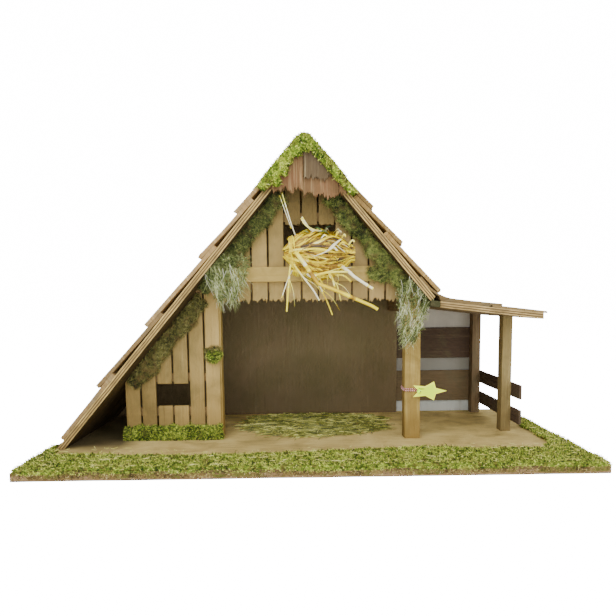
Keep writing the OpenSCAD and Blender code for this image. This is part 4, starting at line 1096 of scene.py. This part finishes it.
def hangLichen(node, name, look, lean, seed):
    # long wavy strands hang down, short curls fill the clump behind them
    dice = random.Random(seed)
    low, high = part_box(node)
    tall = high[2] - low[2]
    last = look["points"] - 1
    strands = []
    spots = pointsOver(node, 3 * (look["strands"] + look["curls"]), dice, lambda normal: normal.y < 0.5)
    lowSpots = [spot for spot in spots if spot.z < low[2] + look["below"] * tall][:look["strands"]]
    for number, spot in enumerate(lowSpots + spots[-look["curls"]:]):
        curl = number >= len(lowSpots)
        length = dice.uniform(*look["curled" if curl else "reach"]) * mm
        if curl:
            drift = Vector((dice.gauss(0, 1), dice.gauss(0, 0.3), dice.gauss(-0.3, 1))).normalized()
        else:
            drift = Vector((lean + dice.gauss(0, 0.3), dice.gauss(0, 0.12), -1)).normalized()
        phase = roll(dice, (0, 6.28), (0, 6.28), (0, 6.28))
        swing = dice.uniform(0.3, 1) * look["wave"] * mm * (0.6 if curl else 1)
        front = low[1] - (0.4 if curl else 1.2) * mm
        points = []
        for i in range(last + 1):
            t = i / last
            point = spot + drift * (length * (t - 0.5))
            point += Vector((math.sin(phase[0] + 5 * t), math.sin(phase[1] + 6 * t) * 0.5,
                             math.sin(phase[2] + 7 * t) * 0.4)) * swing * (0.4 + 0.8 * t)
            point.y = min(max(point.y, front), high[1])
            depth = max(0, (high[2] - point.z) / tall) ** 1.5  # the lower end hangs further left
            point += Vector((look["aside"], 0, look["lift"])) * depth * mm
            if not curl:  # the pale strands hang in front of the dark clump
                point.y -= look["front"] * mm
            points.append(point)
        thick = dice.uniform(*look["thick"]) * mm * (1.3 if curl else 1)
        radii = [thick * (1 - 0.6 * i / last) for i in range(last + 1)]
        strands.append((points, radii, dice.uniform(-0.5, 0) if curl else dice.uniform(-0.05, 0.6), 0))
    finishPiece(drawStrands(name, strands), "lichenGrey", [node])


hangLichen("lichen_left", "lichenLeft", lichen, 0.4, 401)
hangLichen("lichen_right", "lichenRight", rightLichen, -0.05, 402)

hay = {"straws": 1500, "reach": (10, 34), "thick": (0.3, 0.6), "lift": 3.4, "taper": (0.7, 1, 1, 0.9, 0.5),
       "seed": 501}
litter = {"straws": 300, "reach": (3, 10), "thick": (0.22, 0.4), "above": (-1.0, 0.6), "seed": 551,
          "taper": (0.6, 1, 1, 0.6), "edges": {"side": 0.299, "front": -0.159}}


def layHay(node, name, look):
    dice = random.Random(look["seed"])
    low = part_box(node)[0][2]
    strands = []
    for spot in pointsOver(node, look["straws"], dice, lambda normal: normal.z > 0.5):
        length = dice.uniform(*look["reach"]) * mm
        turn, bow = dice.gauss(0, 0.7), dice.gauss(0, 0.4)
        level = low + dice.uniform(0.5, look["lift"]) * mm
        points = []
        for t in (-0.5, -0.25, 0, 0.25, 0.5):
            heading = turn + bow * t
            across, along = math.cos(heading) * length * t, math.sin(heading) * length * t
            points.append(Vector((spot.x + across, spot.y + along, level + dice.uniform(-0.3, 0.5) * mm)))
        thick = dice.uniform(*look["thick"]) * mm
        # painted shade: straws lying lower in the pile get a darker tint
        shade = (level - low) / mm / look["lift"]
        strands.append((points, [thick * share for share in look["taper"]],
                        min(1, 0.55 * shade + 0.75 * dice.random() ** 2.5), turn))
    finishPiece(drawStrands(name, strands), "hay", [node])


def dropLitter(node, name, look):
    # pale bits of straw lie on the base's moss
    dice = random.Random(look["seed"])
    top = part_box(node)[1][2]
    edge, front = look["edges"]["side"], look["edges"]["front"]
    strands = []
    for spot in pointsOver(node, look["straws"], dice, lambda normal: normal.z > 0.5):
        turn, half = dice.uniform(0, 3.14), dice.uniform(*look["reach"]) / 2 * mm
        level = top + dice.uniform(*look["above"]) * mm
        points = []
        for t in (-1, -0.3, 0.4, 1):
            point = spot + Vector((math.cos(turn), math.sin(turn), 0)) * half * t
            points.append(Vector((min(max(point.x, -edge), edge), max(point.y, front),
                                  level + dice.uniform(-0.5, 0.4) * mm)))
        thick = dice.uniform(*look["thick"]) * mm
        strands.append((points, [thick * share for share in look["taper"]], dice.uniform(0.4, 1.0), turn))
    finishPiece(drawStrands(name, strands), "litter")


layHay("floor_hay", "floorHay", hay)
dropLitter("base_moss", "mossLitter", litter)

# The straw nest: ribbons run from the knot at its left round its belly to cut ends at its right
nest = {"middle": Vector((8.26, -56.3, 228.98)) * mm, "half": Vector((39, 24, 27)) * mm, "rear": -40.8 * mm,
        "ribbons": 230, "joints": 12, "wide": (0.5, 1.35), "crown": 0.86, "seed": 603, "sheaf": 16,
        "lashing": 12, "core": 0.8, "coreWear": 1.5, "coreShadeTint": -0.2}
# Loose ends, hanging from the belly and standing out at the top and the right: how many, where they start
# (share and around), their reach, the bow sideways, the bend's place, thickness and tint
looseEnds = [
    (11, (0.25, 0.95), (-75, -40), ((-12, 24), (-4, 3), (-22, -3)), (-4, 4), 0.5, (0.5, 1.0), (0.35, 0.9)),
    (14, (0.5, 0.98), (-20, 85), ((2, 9), (-5, 0), (-4, 5)), None, 0.6, (0.5, 1.1), (0.5, 1.0)),
]
paleLeaves = [  # three broad pale leaves across the nest's front: way, width and tint
    ([(4, -84, 223), (19.4, -85, 229), (28.2, -81, 237), (36, -76, 243)], 1.9, 1.1),
    ([(28, -84, 237), (34, -82, 232), (41, -77, 227)], 1.8, 1.05),
    ([(-8.1, -70, 266), (-1.5, -74, 257), (8.5, -76, 252), (17, -74, 252)], 1.9, 0.9)]
greenLeaves = [  # dry leaves tucked in at the top
    ([(3, -66, 252), (8.5, -70, 256), (14, -71, 252.5), (18, -71, 247)], 1.9, 0.3),
    ([(9, -72, 248), (14, -74, 252), (20, -73, 250.5), (24, -71, 245)], 1.7, 0.6),
    ([(16, -66, 250), (20, -68, 256), (25, -68, 257.5)], 1.6, 0.85),
    ([(12, -75, 243), (16, -77, 247.5), (19, -77, 243)], 1.4, 0.15),
    ([(-8, -70, 250), (-4, -74, 252), (1, -75, 249)], 1.2, 0.75)]


def onNest(share, around, out):
    # share runs from the left end, 0, to the right end, 1; around is 0 at the front and 90 at the top
    across = 2 * share - 1
    belly = math.sqrt(max(0.06, 1 - (min(1, max(-1, across)) * 0.966) ** 2))
    angle = math.radians(around)
    middle, half = nest["middle"], nest["half"]
    rise = (half.z * belly + out) * math.sin(angle)
    front = middle.y - (half.y * belly + out) * math.cos(angle)
    return Vector((middle.x + half.x * across, min(front, nest["rear"]),
                   middle.z + rise * (nest["crown"] if rise > 0 else 1)))


def ribbon(dice):
    # one ribbon of the nest: its aim round the belly, its stretch and how deep it lies, from 0 to 1
    last = nest["joints"] - 1
    aim, begin = roll(dice, (-95, 95), (0.02, 0.4))
    end = min(1.06, begin + dice.uniform(0.4, 0.95))
    depth = dice.random()
    bulge = (-3.0 + 8.0 * depth) * mm
    lift = dice.uniform(-1, 5) * depth * mm  # the cut end stands off
    phase, pace, wander = roll(dice, (0, 6.28), (2, 5), (3, 12))
    # painted shade: ribbons that lie deeper get a darker tint
    tint = 0.06 + 0.46 * depth + dice.choice((-0.2, 0, 0.1, 0.32)) + dice.uniform(-0.06, 0.12)
    twist = dice.uniform(-0.5, 0.5)
    points, tilts = [], []
    for i in range(last + 1):
        t = i / last
        around = aim * (0.3 + 0.7 * min(1, t * 1.8)) + wander * math.sin(phase + pace * t)
        out = bulge * math.sin(3.14 * min(1, t * 1.2)) + lift * max(0, t - 0.7) * 3.3
        points.append(onNest(begin + (end - begin) * t, around, out))
        tilts.append(math.pi / 2 - math.radians(around) + twist)
    wide = dice.uniform(*nest["wide"]) * mm
    return points, [wide * (0.7 if i in (0, last) else 1) for i in range(last + 1)], tint, tilts


def makeNest():
    dice = random.Random(nest["seed"])
    body = copyNode("straw_nest", "nestBody")
    for vertex in body.data.vertices:
        vertex.co = nest["middle"] + (vertex.co - nest["middle"]) * nest["core"]
    wear(body, side, nest["coreWear"], 5)
    # painted shade: the core seen between the ribbons is tinted dark
    addValue(body, "tint", [nest["coreShadeTint"]] * len(body.data.vertices))
    strands = [ribbon(dice) for _ in range(nest["ribbons"])]

    def lay(points, thick, tint, tilt):
        thick, tint, tilt = roll(dice, thick, tint, tilt)
        strands.append((points, [thick * mm] * len(points), tint, tilt))
    for number in range(nest["sheaf"]):  # an orange sheaf low in the middle
        points = []
        for i in range(10):
            around = -34 - 1.6 * number + 6 * math.sin(i * 0.5 + number)
            points.append(onNest(0.2 + 0.6 * i / 9, around, (3.2 + math.sin(number + i)) * mm))
        lay(points, (0.7, 1.2), (0.08, 0.26), (1.4, 2.2))
    for number in range(nest["lashing"]):  # the lashing round the left end
        shift, slant = roll(dice, (-0.04, 0.08), (0.04, 0.14))
        points = []
        for i in range(13):
            out = (2.6 + 0.8 * math.sin(number * 2 + i)) * mm
            points.append(onNest(0.08 + shift + slant * i / 12, 88 - 176 * i / 12, out))
        lay(points, (0.6, 1.1), (0.4, 0.75), (-0.7, 0.7))
    for count, share, around, reach, bowing, place, thick, tint in looseEnds:
        for _ in range(count):
            start = onNest(*roll(dice, share, around), 1 * mm)
            fall = Vector(roll(dice, *reach)) * mm
            bow = Vector((dice.uniform(*bowing) if bowing else 0, -2, 3)) * mm
            lay(smoothPath([start, start + fall * place + bow, start + fall], 4), thick, tint, (0, 3))
    strands += [leafStrand(way, 5, wide, tint, 0.35, 0.3) for way, wide, tint in paleLeaves]
    knit = drawStrands("nestStrands", strands, flatShape=True)
    joinTo(knit, [body])
    knit.name = "strawNest"
    finishPiece(knit, "straw", ["straw_nest"])
    leaves = [leafStrand(way, 4, wide, tint, 0.3, 0.4) for way, wide, tint in greenLeaves]
    finishPiece(drawStrands("nestLeaves", leaves, flatShape=True), "greenLeaf")


makeNest()

# Loose stalks: thickness, tint, whether a thin blade leaves it, and its way in millimetres
stalks = [
    (4.8, 0.7, False, [(-15, -72, 231), (-12.4, -80, 226), (-5.5, -85, 216), (3, -84.5, 203.5),
                       (9.4, -84, 194.6), (12.5, -83.7, 193), (30, -82.7, 186.2), (47.3, -81.9, 178.6),
                       (67.5, -81, 169.9), (75, -81, 165.5)]),
    (2.2, 0.45, True, [(-19, -72, 222), (-14, -76, 212), (-6, -77, 201), (4, -77, 188), (11, -77, 176)]),
    (4.0, 1.0, False, [(36, -66, 214), (42.5, -74, 208.4), (50.5, -75.2, 201.3), (63.8, -75.5, 192.4),
                       (70.7, -75.5, 188.2)]),
    (2.9, 1.05, True, [(-2, -74, 205), (3, -82, 202), (13.9, -84, 205.1), (28.2, -83, 206.7),
                       (42.5, -78, 206.8)]),
    (1.7, 0.86, True, [(0.5, -68, 218.2), (6.7, -74.7, 202), (12.9, -75.5, 189), (20, -75.5, 173.9),
                       (25.4, -74.7, 159.9)]),
    (2.5, 0.66, True, [(-15.1, -66, 229), (-20.6, -72.3, 212.8), (-22.9, -73.1, 191.2),
                       (-25.3, -72.3, 164.2)]),
    (1.5, 0.9, True, [(-7.3, -64, 223.6), (-19.8, -68.3, 207.4), (-24.5, -70.7, 196.6),
                      (-30.7, -71.5, 179.3)]),
    (1.8, 0.7, True, [(16, -68, 218.2), (23.9, -73.1, 200.9), (30.9, -72.3, 192.3), (34.8, -71.5, 176.1)]),
    (1.3, 1.15, False, [(-12, -60, 242), (-18.2, -63, 258.5), (-24.1, -62.7, 278.3), (-28.8, -62, 294.6)]),
    (0.8, 1.1, False, [(-19, -62, 256), (-26.4, -62.2, 277), (-31.5, -62, 292)]),
    (2.5, 1.05, False, [(12, -66, 244), (8.2, -68.5, 249.1), (-0.5, -68, 256.9), (-7, -67, 267.9)]),
]
# A stalk's joints swell, it tapers, and its part near the nest is darker
stalkShape = {"joints": (0.36, 0.74), "width": 0.02, "swell": 0.18, "taper": 0.25, "darker": 0.3,
              "darkPart": 0.45, "blade": 0.45}


def makeStalks():
    strands = []
    for number, (thick, tint, forked, way) in enumerate(stalks):
        path = flow(way, 5)
        radii, tints = [], []
        for i in range(len(path)):
            t = i / (len(path) - 1)
            joint = sum(math.exp(-((t - place) / stalkShape["width"]) ** 2) for place in stalkShape["joints"])
            radii.append(thick / 2 * mm * (1 - stalkShape["taper"] * t + stalkShape["swell"] * joint))
            tints.append(tint - stalkShape["darker"] * max(0, 1 - i / (len(path) * stalkShape["darkPart"])))
        strands.append((path, radii, tints, 0))
        if forked:
            start = path[len(path) // 2]
            aim = path[-1] + Vector((4 + number, -2, 5)) * mm
            blade = smoothPath([start, (start + aim) / 2 + Vector((1.5, -1, 2)) * mm, aim], 4)
            last = len(blade) - 1
            radii = [stalkShape["blade"] * mm * (1 - 0.8 * i / last) for i in range(last + 1)]
            strands.append((blade, radii, min(1, tint + 0.1), 0))
    finishPiece(drawStrands("strawStalks", strands, 8), "straw", ["straw_stalks"])


makeStalks()

# The star and its red cord

star = {"edge": 0.35, "rim": 2.6}
cord = {"thick": 1.6, "post": Vector((123.51, -21.75, 67)), "half": 10.1, "square": 24, "turns": 2,
        "steps": 32, "start": -55, "rise": 2.2,
        "lead": [(132.36, -36.35, 67), (132.36, -34.7, 67), (132.36, -33.2, 67)],
        "fine": 0.45, "twist": 2.6, "aside": 0.25, "strand": 0.29, "tints": (0.05, 0.3, 1.0)}


def makeStar():
    piece = copyNode("star", "star")
    with editing(piece):
        bpy.ops.mesh.select_all(action="DESELECT")
        bpy.ops.mesh.select_mode(type="FACE")
        shape = bmesh.from_edit_mesh(piece.data)
        for face in shape.faces:
            face.select = abs(face.normal.y) > 0.9
        bmesh.update_edit_mesh(piece.data)
        bpy.ops.mesh.inset(thickness=star["rim"] * mm, depth=0)
    inner = cornersOf(piece, lambda face: face.select)
    addValue(piece, "tip", [0.0 if i in inner else 1.0 for i in range(len(piece.data.vertices))])
    roundEdges(piece, star["edge"], 50)
    finishPiece(piece, "starPaint", ["star"], 30)


def cordRoute():
    # from the star to the post and twice round it, close to its square outline
    route = [Vector(point) * mm for point in cord["lead"]]
    for i in range(cord["turns"] * cord["steps"] + 1):
        angle = math.radians(cord["start"] - 360 * i / cord["steps"])
        across, along = math.cos(angle), math.sin(angle)
        power = cord["square"]
        reach = cord["half"] / (abs(across) ** power + abs(along) ** power) ** (1 / power)
        climb = cord["rise"] * i / cord["steps"]
        route.append((cord["post"] + Vector((reach * across, reach * along, climb))) * mm)
    return route


def makeCord():
    # three twisted strands follow the route
    route = cordRoute()
    fine = [route[0]]
    for a, b in zip(route, route[1:]):
        pieces = max(1, round((b - a).length / (cord["fine"] * mm)))
        fine += [a.lerp(b, (i + 1) / pieces) for i in range(pieces)]
    print("cord route:", round(sum((b - a).length for a, b in zip(route, route[1:])) / mm, 1), "mm")
    strands = []
    for number, tint in enumerate(cord["tints"]):
        points = []
        run = 0
        for i, point in enumerate(fine):
            ahead = (fine[min(i + 1, len(fine) - 1)] - fine[max(i - 1, 0)]).normalized()
            run += (point - fine[i - 1]).length if i else 0
            first = ahead.cross(Vector((0.1, 0.2, 1))).normalized()
            second = ahead.cross(first)
            angle = run / (cord["twist"] * mm) * 6.28 + number * 2.094
            aside = first * math.cos(angle) + second * math.sin(angle)
            points.append(point + aside * cord["thick"] * cord["aside"] * mm)
        strands.append((points, [cord["thick"] * cord["strand"] * mm] * len(points), tint, 0))
    finishPiece(drawStrands("starCord", strands), "redWool", ["star_cord"])


makeStar()
makeCord()

shown = list(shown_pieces())
print("pieces:", len(shown), "faces:", sum(len(piece.data.polygons) for piece in shown))
